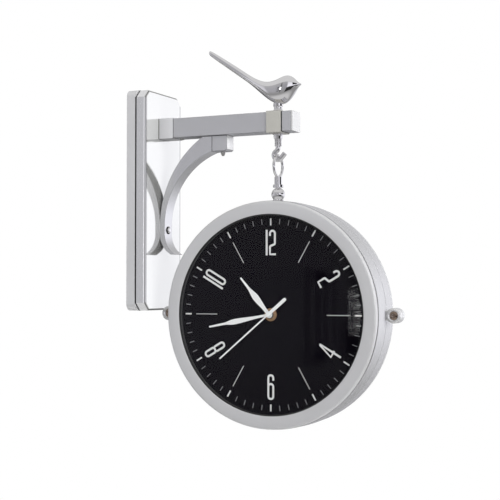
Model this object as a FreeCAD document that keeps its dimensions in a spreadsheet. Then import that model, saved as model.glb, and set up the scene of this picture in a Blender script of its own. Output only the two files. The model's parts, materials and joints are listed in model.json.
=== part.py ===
"""Double-sided wall clock that hangs from a square bracket arm with a bird finial.

All lengths are millimetres. The origin is the centre of the wall plate's back face, X runs
along the arm away from the wall, Z is up, and the front dial faces -Y. The clock's own
pieces are drawn in a dial frame: x to the right of the dial, y up and z out of the dial,
with z = 0 on the seam between the two case halves. The rear half is the same, turned round.
"""
import FreeCAD
import Part
import Sketcher
import math
import operator
import os

doc = FreeCAD.newDocument("DoubleSidedClock")
sheet = doc.addObject("Spreadsheet::Sheet", "Size")

SIZES = [
    # Clearances used all over
    ("fit_gap", 0.05, "sliding and running fit, each side"),
    ("seat_gap", 0.3, "between pieces that lie close and must not touch"),
    # Wall plate
    ("plate_height", 228.0, "wall plate, top to bottom"),
    ("plate_width", 77.0, "wall plate, side to side"),
    ("base_depth", 10.5, "rear base, wall to seam"),
    ("base_floor", 3.0, "floor of the rear base"),
    ("base_wall", 3.0, "rim of the rear base"),
    ("base_corner", 7.0, "corner radius of the rear base"),
    ("seam_gap", 0.5, "dark seam between base and cover"),
    ("cover_depth", 11.0, "front cover, seam to face"),
    ("cover_wall", 2.5, "wall of the front cover"),
    ("cover_clip", 8.0, "clipped corner of the front cover"),
    ("cover_bevel", 2.0, "bevel round the cover's face"),
    ("wall_hole_radius", 2.75, "holes for the wall screws"),
    ("wall_hole_side", 13.5, "wall holes from the plate's sides"),
    ("wall_hole_end", 24.0, "wall holes from the plate's top and bottom"),
    ("cover_lug_width", 14.0, "lug on the base that takes a cover screw"),
    ("cover_lug_thick", 9.0, "same lug, along the screw"),
    ("cover_screw_radius", 1.75, "cover screw shank"),
    ("cover_screw_head", 3.2, "cover screw head"),
    ("cover_screw_head_height", 1.6, "cover screw head, sunk in the rim"),
    ("cover_screw_length", 7.0, "cover screw below its head"),
    # Arm
    ("arm_drop", 38.2, "arm axis below the plate's top"),
    ("arm_size", 20.0, "square arm"),
    ("arm_wall", 1.6, "wall of the arm tube"),
    ("wall_gap", 2.1, "side lug clear of the wall plate"),
    ("arm_overhang", 19.7, "arm beyond the hook's axis"),
    ("collar_length", 16.7, "collar at the arm's root"),
    ("collar_wall", 0.6, "wall of the root collar"),
    ("hanger_before", 8.5, "hanger collar, wall side of the hook"),
    ("hanger_after", 7.5, "hanger collar, end side of the hook"),
    ("hanger_wall", 1.0, "wall of the hanger collar"),
    ("cap_plate", 1.5, "end cap's plate"),
    ("cap_plug", 5.0, "end cap's plug inside the tube"),
    ("block_length", 30.0, "plug block in the arm's root"),
    ("root_bolt_radius", 2.0, "bolt from the cover into the plug block"),
    ("root_bolt_head", 3.5, "same bolt's head"),
    ("root_bolt_head_height", 4.0, "same bolt's head, along the bolt"),
    ("root_bolt_apart", 8.6, "between the two root bolts"),
    ("root_bolt_depth", 16.0, "bolt in the plug block"),
    ("root_screw_reach", 22.0, "small screw under the arm, from the plate"),
    ("root_screw_radius", 1.5, "same screw's shank"),
    ("root_screw_head", 3.0, "same screw's head"),
    ("root_screw_head_height", 1.5, "same screw's head, along the screw"),
    ("root_screw_depth", 6.0, "same screw, above the arm's underside"),
    # Brace
    ("brace_width", 15.5, "brace, front to back"),
    ("brace_thick", 5.6, "brace where it lies on the plate"),
    ("brace_top_run", 10.1, "brace's flat under the arm"),
    ("brace_end_height", 16.1, "brace's end, below the arm"),
    ("brace_rise", 91.8, "brace from its seat on the plate up to the arm"),
    ("brace_seat", 8.5, "brace's seat on the plate"),
    ("brace_curl", 21.5, "brace's foot below its seat"),
    ("brace_foot_out", 13.3, "foot's outer corner, from the plate"),
    ("brace_foot_in", 18.5, "foot's inner corner, from the plate"),
    ("brace_end", 61.0, "brace's top end, from the plate"),
    ("end_block_length", 17.0, "end block under the arm"),
    ("end_block_bevel", 1.6, "bevel on the end block's end"),
    ("set_screw_back", 9.0, "set screw, from the end block's start"),
    ("set_screw_radius", 2.4, "set screw"),
    ("set_screw_out", 4.6, "set screw below the end block"),
    ("set_screw_point", 2.6, "conical point of the set screw"),
    ("set_screw_in", 8.0, "set screw inside the end block"),
    ("foot_screw_radius", 1.8, "screw through the brace's foot"),
    ("foot_screw_head", 3.0, "same screw's head"),
    ("foot_screw_head_height", 2.2, "same screw's head, along the screw"),
    ("boss_radius", 5.0, "boss in the base that takes that screw"),
    ("foot_screw_end", 5.0, "tip of that screw from the wall"),
    # Bird and its post
    ("stud_radius", 2.5, "threaded stud through the arm"),
    ("post_height", 8.8, "bird's post"),
    ("post_radius", 4.9, "post's foot"),
    ("post_waist", 4.2, "post's waist"),
    ("stud_in_bird", 8.0, "stud inside the bird"),
    ("post_sink", 2.0, "post inside the bird"),
    # Ferrule and hook
    ("ferrule_height", 12.8, "ferrule below the hanger collar"),
    ("ferrule_top_radius", 5.0, "ferrule's wide end"),
    ("ferrule_radius", 3.5, "ferrule's neck"),
    ("ferrule_cone", 6.4, "ferrule's cone and rim"),
    ("ferrule_rim", 1.0, "ferrule's rim, along the hook"),
    ("stud_in_ferrule", 6.5, "stud inside the ferrule"),
    ("hook_socket", 4.0, "hook's shank inside the ferrule"),
    ("hook_wire", 2.5, "hook's wire, radius"),
    ("hook_straight", 1.2, "straight shank below the ferrule"),
    ("hook_bend", 4.5, "hook's bends, at the wire's middle"),
    ("hook_tip", 6.0, "hook's straight tip"),
    # Eye and ball
    ("eye_radius", 10.8, "eye ring, at the wire's middle"),
    ("eye_wire", 1.4, "eye ring's wire, radius"),
    ("neck_radius", 3.7, "eye's neck"),
    ("neck_length", 8.055, "eye's neck"),
    ("flange_radius", 5.2, "eye's flange"),
    ("flange_thick", 2.6, "eye's flange"),
    ("ball_radius", 6.8, "ball on the case"),
    ("ball_foot_radius", 4.4, "ball's foot on the case"),
    ("eye_stud_radius", 2.5, "stud below the eye"),
    ("washer_radius", 5.5, "washer inside the case"),
    ("washer_thick", 1.0, "washer inside the case"),
    ("eye_nut_radius", 4.2, "nut inside the case"),
    ("eye_nut_height", 4.0, "nut inside the case"),
    # Case
    ("case_radius", 113.5, "case at the seam"),
    ("case_draft", 0.6, "case radius lost towards the bezel"),
    ("case_wall", 3.5, "case wall at the seam"),
    ("case_seam", 0.1, "half of the gap at the case seam"),
    ("case_seam_bevel", 0.5, "bevel at the case seam"),
    ("ledge_width", 9.0, "ledge that carries the dial, across"),
    ("ledge_thick", 2.2, "ledge that carries the dial"),
    ("lug_out", 9.0, "side lug's centre outside the case"),
    ("lug_rim", 2.7, "side lug's rim round the counterbore"),
    ("lug_depth", 7.5, "side lug, each half"),
    ("lug_floor", 3.5, "side lug under the screw head"),
    ("lug_bevel", 1.6, "bevel on the side lug"),
    ("lug_web", 9.0, "web between lug and case"),
    ("lug_screw_radius", 2.0, "lug screw"),
    ("lug_screw_head", 4.2, "lug screw's head"),
    ("lug_screw_head_height", 3.6, "lug screw's head"),
    ("lug_screw_socket", 1.7, "hexagon socket, across corners, radius"),
    ("lug_screw_socket_depth", 2.0, "hexagon socket"),
    ("lug_head_gap", 0.5, "counterbore wider than the screw's head"),
    ("lug_nut_height", 3.2, "lug nut"),
    # Bezel, glass, dial
    ("groove", 0.6, "groove between case and bezel"),
    ("bezel_step", 1.0, "bezel smaller than the case"),
    ("bezel_round", 2.0, "bezel's rounded outer edge"),
    ("bezel_height", 4.2, "bezel above the groove"),
    ("bezel_width", 14.0, "bezel, outside to opening"),
    ("bezel_lip", 1.9, "bezel's lip over the glass"),
    ("bezel_lip_bevel", 0.5, "bevel inside the bezel's opening"),
    ("skirt_wall", 2.2, "bezel's skirt inside the case"),
    ("skirt_depth", 3.6, "bezel's skirt inside the case"),
    ("gasket_thick", 0.4, "gasket between glass and lip"),
    ("glass_inset", 6.2, "glass, dial and spacer inside the case"),
    ("glass_thick", 1.8, "glass"),
    ("glass_dome", 9.7, "rise of the domed glass"),
    ("glass_flange", 6.2, "flat rim of the glass"),
    ("spacer_wall", 4.6, "spacer ring between dial and glass"),
    ("dial_thick", 1.0, "dial"),
    # Movement
    ("movement_gap", 1.4, "movement housing behind it, to the seam"),
    ("movement_wall", 1.6, "movement housing's wall"),
    ("movement_cover_thick", 1.6, "movement's rear cover"),
    ("cell_clear", 0.35, "between the cell and the housing's back"),
    ("cell_play", 2.0, "battery bay longer than cell and contacts"),
    ("cell_radius", 6.9, "cell"),
    ("cell_length", 50.0, "cell with its button"),
    ("cell_button", 1.4, "cell's button"),
    ("cell_button_radius", 2.7, "cell's button"),
    ("contact_thick", 0.4, "battery contact"),
    ("contact_width", 8.0, "battery contact"),
    ("coil_radius", 3.4, "motor coil"),
    ("coil_length", 20.0, "motor coil"),
    ("coil_across", 18.0, "motor coil from the clock's axis"),
    ("board_thick", 0.8, "circuit board"),
    ("board_width", 13.0, "circuit board"),
    ("board_height", 28.0, "circuit board"),
    ("bush_radius", 4.0, "threaded bush"),
    ("bush_out", 3.4, "threaded bush in front of the dial"),
    ("dial_washer_radius", 6.4, "washer on the dial"),
    ("dial_washer_thick", 0.5, "washer on the dial"),
    ("dial_nut_radius", 5.8, "dial nut, across corners, radius"),
    ("dial_nut_thick", 2.0, "dial nut"),
    ("gear_module", 0.4, "gear module"),
    ("gear_play", 0.16, "backlash at the pitch circle"),
    ("gear_gap", 0.5, "between the hour wheel and the battery bay"),
    ("wheel_thick", 1.4, "toothed wheel"),
    ("hour_tube", 2.6, "hour wheel's tube, radius"),
    ("minute_tube", 1.7, "minute pinion's tube, radius"),
    ("second_arbor", 0.55, "seconds arbor, radius"),
    ("knob_radius", 4.2, "setting knob"),
    ("knob_thick", 1.4, "setting knob"),
    ("setting_shaft", 1.5, "setting wheel's shaft, radius"),
    ("setting_pivot", 0.8, "setting wheel's front pivot, radius"),
    # Hands
    ("hand_thick", 0.5, "hour and minute hands"),
    ("hand_step", 1.5, "from one hand to the next"),
    ("hand_clear", 0.6, "hour hand above the bush"),
    ("hour_inset", 55.8, "hour hand's tip inside the dial's edge"),
    ("hour_width", 6.8, "hour hand at its widest"),
    ("hour_shoulder", 0.43, "hour hand's widest place, share of its length"),
    ("hour_needle", 0.74, "start of the hour hand's needle, share of its length"),
    ("minute_inset", 37.3, "minute hand's tip inside the dial's edge"),
    ("minute_width", 5.6, "minute hand at its widest"),
    ("minute_shoulder", 0.55, "minute hand's widest place, share of its length"),
    ("minute_needle", 0.76, "start of the minute hand's needle, share of its length"),
    ("needle_width", 1.7, "hands' needle"),
    ("hand_root", 3.2, "hands at the hub"),
    ("hour_hub", 4.0, "hour hand's hub, radius"),
    ("minute_hub", 3.2, "minute hand's hub, radius"),
    ("second_inset", 34.8, "second hand's tip inside the dial's edge"),
    ("second_width", 1.4, "second hand"),
    ("second_tail", 25.0, "second hand's tail"),
    ("second_tail_width", 3.3, "second hand's tail"),
    ("second_thick", 0.4, "second hand"),
    ("second_hub", 2.2, "second hand's hub, radius"),
    ("second_hub_height", 1.0, "second hand's hub"),
]

for row, (alias, number, note) in enumerate(SIZES, start=1):
    sheet.set(f"A{row}", note)
    sheet.set(f"B{row}", str(number))
    sheet.setAlias(f"B{row}", alias)
doc.recompute()

# Tooth counts of the motion work: minute to setting wheel 1 to 3, setting pinion to hour wheel 1 to 4
MINUTE_PINION_TEETH = 15
SETTING_WHEEL_TEETH = 45
SETTING_PINION_TEETH = 12
HOUR_WHEEL_TEETH = 48

# Tooth tips and roots from the pitch circle, in modules
TOOTH_TIP = 0.8
TOOTH_ROOT = 1.15

# Hands at rest, in degrees clockwise from twelve
HOUR_ANGLE = 319.6
MINUTE_ANGLE = 258.9
SECOND_ANGLE = 230.0


class Formula:
    """A length worked out from the sheet: its value now, and the same sum as an expression."""

    def __init__(self, value, text):
        self.value = value
        self.text = text

    def __add__(self, other):
        return joined(self, "+", other)

    def __radd__(self, other):
        return joined(other, "+", self)

    def __sub__(self, other):
        return joined(self, "-", other)

    def __rsub__(self, other):
        return joined(other, "-", self)

    def __mul__(self, other):
        return joined(self, "*", other)

    def __rmul__(self, other):
        return joined(other, "*", self)

    def __truediv__(self, other):
        return joined(self, "/", other)

    def __neg__(self):
        return joined(0, "-", self)


SUMS = {"+": operator.add, "-": operator.sub, "*": operator.mul, "/": operator.truediv}


def formula(number):
    """The number as a Formula."""
    if isinstance(number, Formula):
        return number
    return Formula(float(number), f"({float(number)})")


def joined(left, sign, right):
    """Two formulas joined by one of the four signs."""
    left = formula(left)
    right = formula(right)
    return Formula(SUMS[sign](left.value, right.value), f"({left.text} {sign} {right.text})")


def root(square):
    """Square root of a formula."""
    return Formula(math.sqrt(square.value), f"sqrt({square.text})")


class SizeSheet:
    """Reads a size of the sheet by its alias."""

    def __getattr__(self, alias):
        return Formula(float(sheet.get(alias)), "Size." + alias)


s = SizeSheet()

X_AXIS = FreeCAD.Vector(1, 0, 0)
Y_AXIS = FreeCAD.Vector(0, 1, 0)
Z_AXIS = FreeCAD.Vector(0, 0, 1)
UPRIGHT = FreeCAD.Rotation()
UPSIDE_DOWN = FreeCAD.Rotation(X_AXIS, 180)
ALONG_X = FreeCAD.Rotation(Y_AXIS, 90)
FACING_FRONT = FreeCAD.Rotation(X_AXIS, 90)
FACING_REAR = FreeCAD.Rotation(Z_AXIS, 180) * FACING_FRONT
FACES = [("front", FACING_FRONT, -1), ("rear", FACING_REAR, 1)]

nodes = []
pairs = {}


def node(piece, label):
    """Names a finished sub-part, which also names its file."""
    piece.Label = label
    nodes.append(piece)
    return piece


def pair(label, piece):
    """Keeps a piece for the node that holds the like pieces of both faces."""
    pairs.setdefault(label, []).append(piece)


def bind(thing, path, size):
    """Ties a property to the sheet."""
    thing.setExpression(path, formula(size).text)


def place(thing, x=0, y=0, z=0, rotation=UPRIGHT):
    """Turns a piece, then ties its position to the sheet."""
    thing.Placement = FreeCAD.Placement(FreeCAD.Vector(), rotation)
    for path, size in (("x", x), ("y", y), ("z", z)):
        bind(thing, "Placement.Base." + path, size)
    return thing


def seat(thing, face, height=0, angle=0.0):
    """Places a piece drawn in the dial frame at a height above the seam, turned clockwise."""
    rotation, outward = face
    turned_rotation = rotation * FreeCAD.Rotation(Z_AXIS, -angle)
    return place(thing, hook_x, outward * formula(height), clock_z, turned_rotation)


def sketch_on(body, role, name):
    """Empty sketch on one of a body's origin planes."""
    plane = next(feature for feature in body.Origin.OriginFeatures if feature.Role == role)
    sketch = body.newObject("Sketcher::SketchObject", name)
    sketch.AttachmentSupport = [(plane, "")]
    sketch.MapMode = "FlatFace"
    return sketch


def pin_point(sketch, shape_index, point_index, corner):
    """Ties a point of a sketch to two formulas."""
    for kind, size in zip(("DistanceX", "DistanceY"), corner):
        size = formula(size)
        constraint = Sketcher.Constraint(kind, -1, 1, shape_index, point_index, size.value)
        bind(sketch, f"Constraints[{sketch.addConstraint(constraint)}]", size)


def pin_radius(sketch, shape_index, radius):
    """Ties the radius of an arc or circle to a formula."""
    constraint = Sketcher.Constraint("Radius", shape_index, radius.value)
    bind(sketch, f"Constraints[{sketch.addConstraint(constraint)}]", radius)


def arc_between(start, end, radius, leftward):
    """Arc of less than half a circle from start to end, turning left or right."""
    middle = (start + end) * 0.5
    chord = end - start
    rise = math.sqrt(radius ** 2 - chord.Length ** 2 / 4)
    side = FreeCAD.Vector(-chord.y, chord.x, 0).normalize() * rise
    centre = middle + side if leftward else middle - side
    first, last = (start, end) if leftward else (end, start)
    angles = [math.atan2(point.y - centre.y, point.x - centre.x) for point in (first, last)]
    return Part.ArcOfCircle(Part.Circle(centre, Z_AXIS, radius), angles[0], angles[1])


def draw(sketch, corners, closed=True):
    """Outline through corners (across, up); a third entry bends the run to the next corner.

    That entry is (radius, "left") or (radius, "right"), for the way the run turns.
    """
    spots = [FreeCAD.Vector(formula(c[0]).value, formula(c[1]).value, 0) for c in corners]
    count = len(corners)
    runs = []
    for index in range(count if closed else count - 1):
        start = spots[index]
        end = spots[(index + 1) % count]
        if len(corners[index]) == 2:
            shape = sketch.addGeometry(Part.LineSegment(start, end), False)
            runs.append((shape, 1, 2))
            continue
        radius, way = corners[index][2]
        radius = formula(radius)
        leftward = way == "left"
        shape = sketch.addGeometry(arc_between(start, end, radius.value, leftward), False)
        runs.append((shape, 1, 2) if leftward else (shape, 2, 1))
        pin_radius(sketch, shape, radius)
    for index, (shape, first, last) in enumerate(runs):
        pin_point(sketch, shape, first, corners[index])
        if closed or index + 1 < len(runs):
            following = runs[(index + 1) % len(runs)]
            link = Sketcher.Constraint("Coincident", shape, last, following[0], following[1])
            sketch.addConstraint(link)
        else:
            pin_point(sketch, shape, last, corners[index + 1])


def draw_circle(sketch, x, y, radius):
    """Circle tied to the sheet."""
    radius = formula(radius)
    centre = FreeCAD.Vector(formula(x).value, formula(y).value, 0)
    shape = sketch.addGeometry(Part.Circle(centre, Z_AXIS, radius.value), False)
    pin_point(sketch, shape, 3, (x, y))
    pin_radius(sketch, shape, radius)


def rectangle(left, low, right, high):
    """Corners of a rectangle."""
    return [(left, low), (right, low), (right, high), (left, high)]


def clipped(width, height, clip, rounding=None):
    """Corners of a rectangle whose corners are clipped, or rounded."""
    bend = [(rounding, "left")] if rounding else []
    right = width / 2
    top = height / 2
    return [
        (-right + clip, -top), (right - clip, -top, *bend),
        (right, -top + clip), (right, top - clip, *bend),
        (right - clip, top), (-right + clip, top, *bend),
        (-right, top - clip), (-right, -top + clip, *bend),
    ]


def new_body(name):
    """Empty body."""
    return doc.addObject("PartDesign::Body", name)


def pad(body, sketch, length, symmetric=False):
    """Pad of a sketch, towards its plane's normal or to both sides."""
    feature = body.newObject("PartDesign::Pad", sketch.Name + "_pad")
    feature.Profile = sketch
    if symmetric:
        feature.SideType = "Symmetric"
    bind(feature, "Length", length)
    return feature


def raised(sketch, height):
    """Lifts a sketch off its plane."""
    bind(sketch, "AttachmentOffset.Base.z", height)
    return sketch


def turned(name, corners):
    """Body of revolution about its own z axis, from corners (radius, height)."""
    body = new_body(name)
    sketch = sketch_on(body, "XZ_Plane", name + "_profile")
    draw(sketch, corners)
    feature = body.newObject("PartDesign::Revolution", name + "_turn")
    feature.Profile = sketch
    feature.ReferenceAxis = (sketch, ["V_Axis"])
    feature.Angle = 360
    return body


def ring(name, inner, outer, low, high):
    """Plain ring."""
    return turned(name, [(inner, low), (outer, low), (outer, high), (inner, high)])


def fastener(name, head_radius, head_height, radius, length):
    """Pan-head screw: its head stands on z = 0 and its shank goes down."""
    edge = head_height / 2
    return turned(name, [
        (0, -length), (radius, -length), (radius, 0), (head_radius, 0), (head_radius, edge),
        (head_radius - edge, head_height), (0, head_height),
    ])


def box(name, length, width, height):
    """Box with its corner at the origin."""
    thing = doc.addObject("Part::Box", name)
    for path, size in (("Length", length), ("Width", width), ("Height", height)):
        bind(thing, path, size)
    return thing


def rod(name, radius, length):
    """Cylinder from the origin upwards."""
    thing = doc.addObject("Part::Cylinder", name)
    bind(thing, "Radius", radius)
    bind(thing, "Height", length)
    return thing


def cut(name, base, tools):
    """The base with the tools taken away."""
    thing = doc.addObject("Part::Cut", name)
    thing.Base = base
    thing.Tool = tools[0] if len(tools) == 1 else fuse(name + "_tools", tools)
    return thing


def fuse(name, pieces):
    """Several solids made one."""
    thing = doc.addObject("Part::MultiFuse", name)
    thing.Shapes = pieces
    return thing


def group(name, pieces):
    """Separate solids in one node."""
    thing = doc.addObject("Part::Compound", name)
    thing.Links = pieces
    return thing


# Places that several pieces share
face_x = s.base_depth + s.seam_gap + s.cover_depth
lug_counterbore = s.lug_screw_head + s.lug_head_gap
lug_radius = lug_counterbore + s.lug_rim
lug_reach = s.case_radius + s.lug_out
hook_x = face_x + s.wall_gap + lug_radius + lug_reach
arm_end_x = hook_x + s.arm_overhang
arm_height = s.plate_height / 2 - s.arm_drop
arm_under = arm_height - s.arm_size / 2
hanger_under = arm_under - s.hanger_wall
hanger_top = arm_height + s.arm_size / 2 + s.hanger_wall
tube_inside = s.arm_size - 2 * s.arm_wall
block_size = tube_inside - 2 * s.fit_gap
seat_top = arm_under - s.brace_rise
seat_bottom = seat_top - s.brace_seat
foot_screw_z = seat_top - s.brace_seat / 2


def wall_base():
    """Rear tray that is screwed to the wall, with a boss and two lugs for the cover's screws."""
    body = new_body("wall_base_body")
    outline = clipped(s.plate_width, s.plate_height, s.base_corner, s.base_corner)
    inner = clipped(s.plate_width - 2 * s.base_wall, s.plate_height - 2 * s.base_wall,
                    s.base_corner - s.base_wall, s.base_corner - s.base_wall)
    floor = sketch_on(body, "YZ_Plane", "base_floor_outline")
    draw(floor, outline)
    for across in (-1, 1):
        for up in (-1, 1):
            draw_circle(floor, across * (s.plate_width / 2 - s.wall_hole_side),
                        up * (s.plate_height / 2 - s.wall_hole_end), s.wall_hole_radius)
    pad(body, floor, s.base_floor)
    rim = sketch_on(body, "YZ_Plane", "base_rim_outline")
    draw(rim, outline)
    draw(rim, inner)
    pad(body, rim, s.base_depth)
    boss = sketch_on(body, "YZ_Plane", "base_boss_outline")
    draw_circle(boss, 0, foot_screw_z, s.boss_radius)
    pad(body, boss, face_x - s.cover_wall - s.seat_gap)
    lug_top = s.plate_height / 2 - s.cover_wall - s.seat_gap
    lugs = sketch_on(body, "YZ_Plane", "base_lug_outline")
    half = s.cover_lug_width / 2
    for up in (-1, 1):
        low = up * (lug_top - s.cover_lug_thick)
        high = up * lug_top
        draw(lugs, rectangle(-half, low, half, high))
    pad(body, lugs, face_x - s.cover_wall - s.seat_gap)
    foot_hole = rod("foot_screw_hole", s.foot_screw_radius + s.fit_gap, face_x)
    place(foot_hole, s.foot_screw_end - s.seat_gap, 0, foot_screw_z, ALONG_X)
    holes = [foot_hole]
    for up, way in ((1, UPSIDE_DOWN), (-1, UPRIGHT)):
        depth = s.cover_screw_length + s.seat_gap
        hole = rod("cover_screw_hole", s.cover_screw_radius + s.fit_gap, depth)
        holes.append(place(hole, cover_screw_x, 0, up * cover_screw_z, way))
    node(cut("wall_base_drilled", body, holes), "wall_base")


cover_screw_x = s.base_depth + s.seam_gap + (s.cover_depth - s.cover_wall) / 2
cover_screw_z = s.plate_height / 2 - s.cover_screw_head_height


def wall_cover():
    """Front tray with clipped corners and a bevelled, glossy face."""
    body = new_body("wall_cover_body")
    outline = clipped(s.plate_width, s.plate_height, s.cover_clip)
    inner = clipped(s.plate_width - 2 * s.cover_wall, s.plate_height - 2 * s.cover_wall, s.cover_clip)
    rim = sketch_on(body, "YZ_Plane", "cover_rim_outline")
    draw(rim, outline)
    draw(rim, inner)
    pad(body, rim, s.cover_depth)
    face = raised(sketch_on(body, "YZ_Plane", "cover_face_outline"), s.cover_depth - s.cover_wall)
    draw(face, outline)
    face_pad = pad(body, face, s.cover_wall)
    doc.recompute()
    edges = [f"Edge{number}" for number, edge in enumerate(body.Shape.Edges, start=1)
             if min(vertex.X for vertex in edge.Vertexes) > s.cover_depth.value - 0.01]
    bevel = body.newObject("PartDesign::Chamfer", "cover_bevel")
    bevel.Base = (face_pad, edges)
    bind(bevel, "Size", s.cover_bevel)
    place(body, s.base_depth + s.seam_gap)
    holes = []
    for up in (-1, 1):
        hole = rod("root_bolt_hole", s.root_bolt_radius + s.fit_gap, s.cover_wall * 2)
        holes.append(place(hole, face_x - s.cover_wall * 1.5, 0,
                           arm_height + up * s.root_bolt_apart / 2, ALONG_X))
    hole = rod("foot_screw_way", s.foot_screw_radius + s.fit_gap, s.cover_wall * 2)
    holes.append(place(hole, face_x - s.cover_wall * 1.5, 0, foot_screw_z, ALONG_X))
    for up, way in ((1, UPSIDE_DOWN), (-1, UPRIGHT)):
        head = rod("cover_screw_sink", s.cover_screw_head + s.fit_gap, s.cover_screw_head_height)
        holes.append(place(head, cover_screw_x, 0, up * s.plate_height / 2, way))
        hole = rod("cover_screw_way", s.cover_screw_radius + s.fit_gap, s.cover_wall * 2)
        holes.append(place(hole, cover_screw_x, 0, up * s.plate_height / 2, way))
    node(cut("wall_cover_drilled", body, holes), "wall_cover")


def cover_screws():
    """Two screws through the cover's top and bottom rims into the base's lugs."""
    screws = []
    for up, way in ((1, UPRIGHT), (-1, UPSIDE_DOWN)):
        screw = fastener("cover_screw", s.cover_screw_head, s.cover_screw_head_height,
                         s.cover_screw_radius, s.cover_screw_length)
        screws.append(place(screw, cover_screw_x, 0, up * cover_screw_z, way))
    node(group("cover_screw_pair", screws), "cover_screws")


def square_bar(name, size, start, length):
    """Square bar along the arm's axis."""
    bar = box(name, length, size, size)
    return place(bar, start, -size / 2, arm_height - size / 2)


def stud_way(name):
    """Upright hole for the stud through the arm."""
    way = rod(name, s.stud_radius + s.fit_gap, s.arm_size * 2)
    return place(way, hook_x, 0, arm_height - s.arm_size)


def arm():
    """Square tube, its plug block and bolts, the two collars and the end cap."""
    length = arm_end_x - s.cap_plate - face_x
    root_screw_x = face_x + s.root_screw_reach
    screw_hole = rod("root_screw_way", s.root_screw_radius + s.fit_gap, s.root_screw_depth + s.seat_gap)
    place(screw_hole, root_screw_x, 0, arm_under)
    tube = square_bar("tube_outside", s.arm_size, face_x, length)
    hollow = square_bar("tube_hollow", tube_inside, face_x, length)
    node(cut("arm_tube_cut", tube, [hollow, stud_way("tube_stud_way"), screw_hole]), "arm_tube")

    bolts = []
    ways = [screw_hole]
    for up in (-1, 1):
        bolt = fastener("root_bolt", s.root_bolt_head, s.root_bolt_head_height, s.root_bolt_radius,
                        s.cover_wall + s.root_bolt_depth)
        bolt_z = arm_height + up * s.root_bolt_apart / 2
        bolts.append(place(bolt, face_x - s.cover_wall, 0, bolt_z, FreeCAD.Rotation(Y_AXIS, -90)))
        way = rod("root_bolt_way", s.root_bolt_radius + s.fit_gap, s.root_bolt_depth + s.seat_gap)
        ways.append(place(way, face_x, 0, bolt_z, ALONG_X))
    block = square_bar("block_solid", block_size, face_x, s.block_length)
    node(cut("root_block_cut", block, ways), "root_block")
    node(group("root_bolt_pair", bolts), "root_bolts")

    collar_size = s.arm_size + 2 * (s.fit_gap + s.collar_wall)
    collar = square_bar("collar_outside", collar_size, face_x, s.collar_length)
    bore = square_bar("collar_bore", s.arm_size + 2 * s.fit_gap, face_x, s.collar_length)
    node(cut("root_collar_cut", collar, [bore]), "root_collar")

    screw = fastener("root_screw_body", s.root_screw_head, s.root_screw_head_height, s.root_screw_radius,
                     s.root_screw_depth)
    node(place(screw, root_screw_x, 0, arm_under, UPSIDE_DOWN), "root_screw")

    hanger_start = hook_x - s.hanger_before
    hanger_length = s.hanger_before + s.hanger_after
    hanger = square_bar("hanger_outside", s.arm_size + 2 * s.hanger_wall, hanger_start, hanger_length)
    bore = square_bar("hanger_bore", s.arm_size, hanger_start, hanger_length)
    node(cut("hanger_collar_cut", hanger, [bore, stud_way("hanger_stud_way")]), "hanger_collar")

    plate = square_bar("cap_plate_box", s.arm_size, arm_end_x - s.cap_plate, s.cap_plate)
    plug = square_bar("cap_plug_box", block_size, arm_end_x - s.cap_plate - s.cap_plug, s.cap_plug)
    node(fuse("arm_end_cap_fuse", [plate, plug]), "arm_end_cap")


def brace():
    """Curved brace, its end block against the arm, and their two screws."""
    outer_meet = s.brace_end - s.brace_top_run
    outer_radius = (outer_meet * outer_meet + s.brace_rise * s.brace_rise) / (2 * outer_meet)
    inner_meet = arm_under - s.brace_end_height
    inner_rise = inner_meet - seat_top
    inner_run = s.brace_end - s.brace_thick
    inner_radius = (inner_run * inner_run + inner_rise * inner_rise) / (2 * inner_run)
    toe = s.brace_foot_in - s.brace_thick
    curl_square = s.brace_curl * s.brace_curl
    outer_curl = (s.brace_foot_out * s.brace_foot_out + curl_square) / (2 * s.brace_foot_out)
    inner_curl = (toe * toe + curl_square) / (2 * toe)
    foot_low = seat_bottom - s.brace_curl
    body = new_body("brace_body")
    outline = sketch_on(body, "XZ_Plane", "brace_outline")
    draw(outline, [
        (s.brace_foot_in, foot_low),
        (s.brace_foot_out, foot_low, (outer_curl, "right")),
        (0, seat_bottom),
        (0, seat_top, (outer_radius, "right")),
        (outer_meet, arm_under),
        (s.brace_end, arm_under),
        (s.brace_end, inner_meet, (inner_radius, "left")),
        (s.brace_thick, seat_top),
        (s.brace_thick, seat_bottom, (inner_curl, "left")),
    ])
    pad(body, outline, s.brace_width, symmetric=True)
    place(body, face_x)
    way = rod("brace_screw_way", s.foot_screw_radius + s.fit_gap, s.brace_thick * 2)
    place(way, face_x - s.brace_thick / 2, 0, foot_screw_z, ALONG_X)
    node(cut("brace_cut", body, [way]), "brace")

    block = new_body("end_block_body")
    outline = sketch_on(block, "XZ_Plane", "end_block_outline")
    end = s.brace_end + s.end_block_length
    draw(outline, [
        (s.brace_end, inner_meet), (end - s.end_block_bevel, inner_meet),
        (end, inner_meet + s.end_block_bevel), (end, arm_under), (s.brace_end, arm_under),
    ])
    pad(block, outline, s.brace_width, symmetric=True)
    place(block, face_x)
    set_x = face_x + s.brace_end + s.set_screw_back
    way = rod("set_screw_way", s.set_screw_radius + s.fit_gap, s.set_screw_in + s.seat_gap)
    place(way, set_x, 0, inner_meet)
    node(cut("end_block_cut", block, [way]), "brace_end_block")

    screw = turned("set_screw_body", [
        (0, -s.set_screw_out), (s.set_screw_radius / 2, -s.set_screw_out),
        (s.set_screw_radius, s.set_screw_point - s.set_screw_out),
        (s.set_screw_radius, s.set_screw_in), (0, s.set_screw_in),
    ])
    node(place(screw, set_x, 0, inner_meet), "brace_set_screw")

    length = face_x + s.brace_thick - s.foot_screw_end
    screw = fastener("foot_screw_body", s.foot_screw_head, s.foot_screw_head_height,
                     s.foot_screw_radius, length)
    node(place(screw, face_x + s.brace_thick, 0, foot_screw_z, ALONG_X), "brace_foot_screw")


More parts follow.
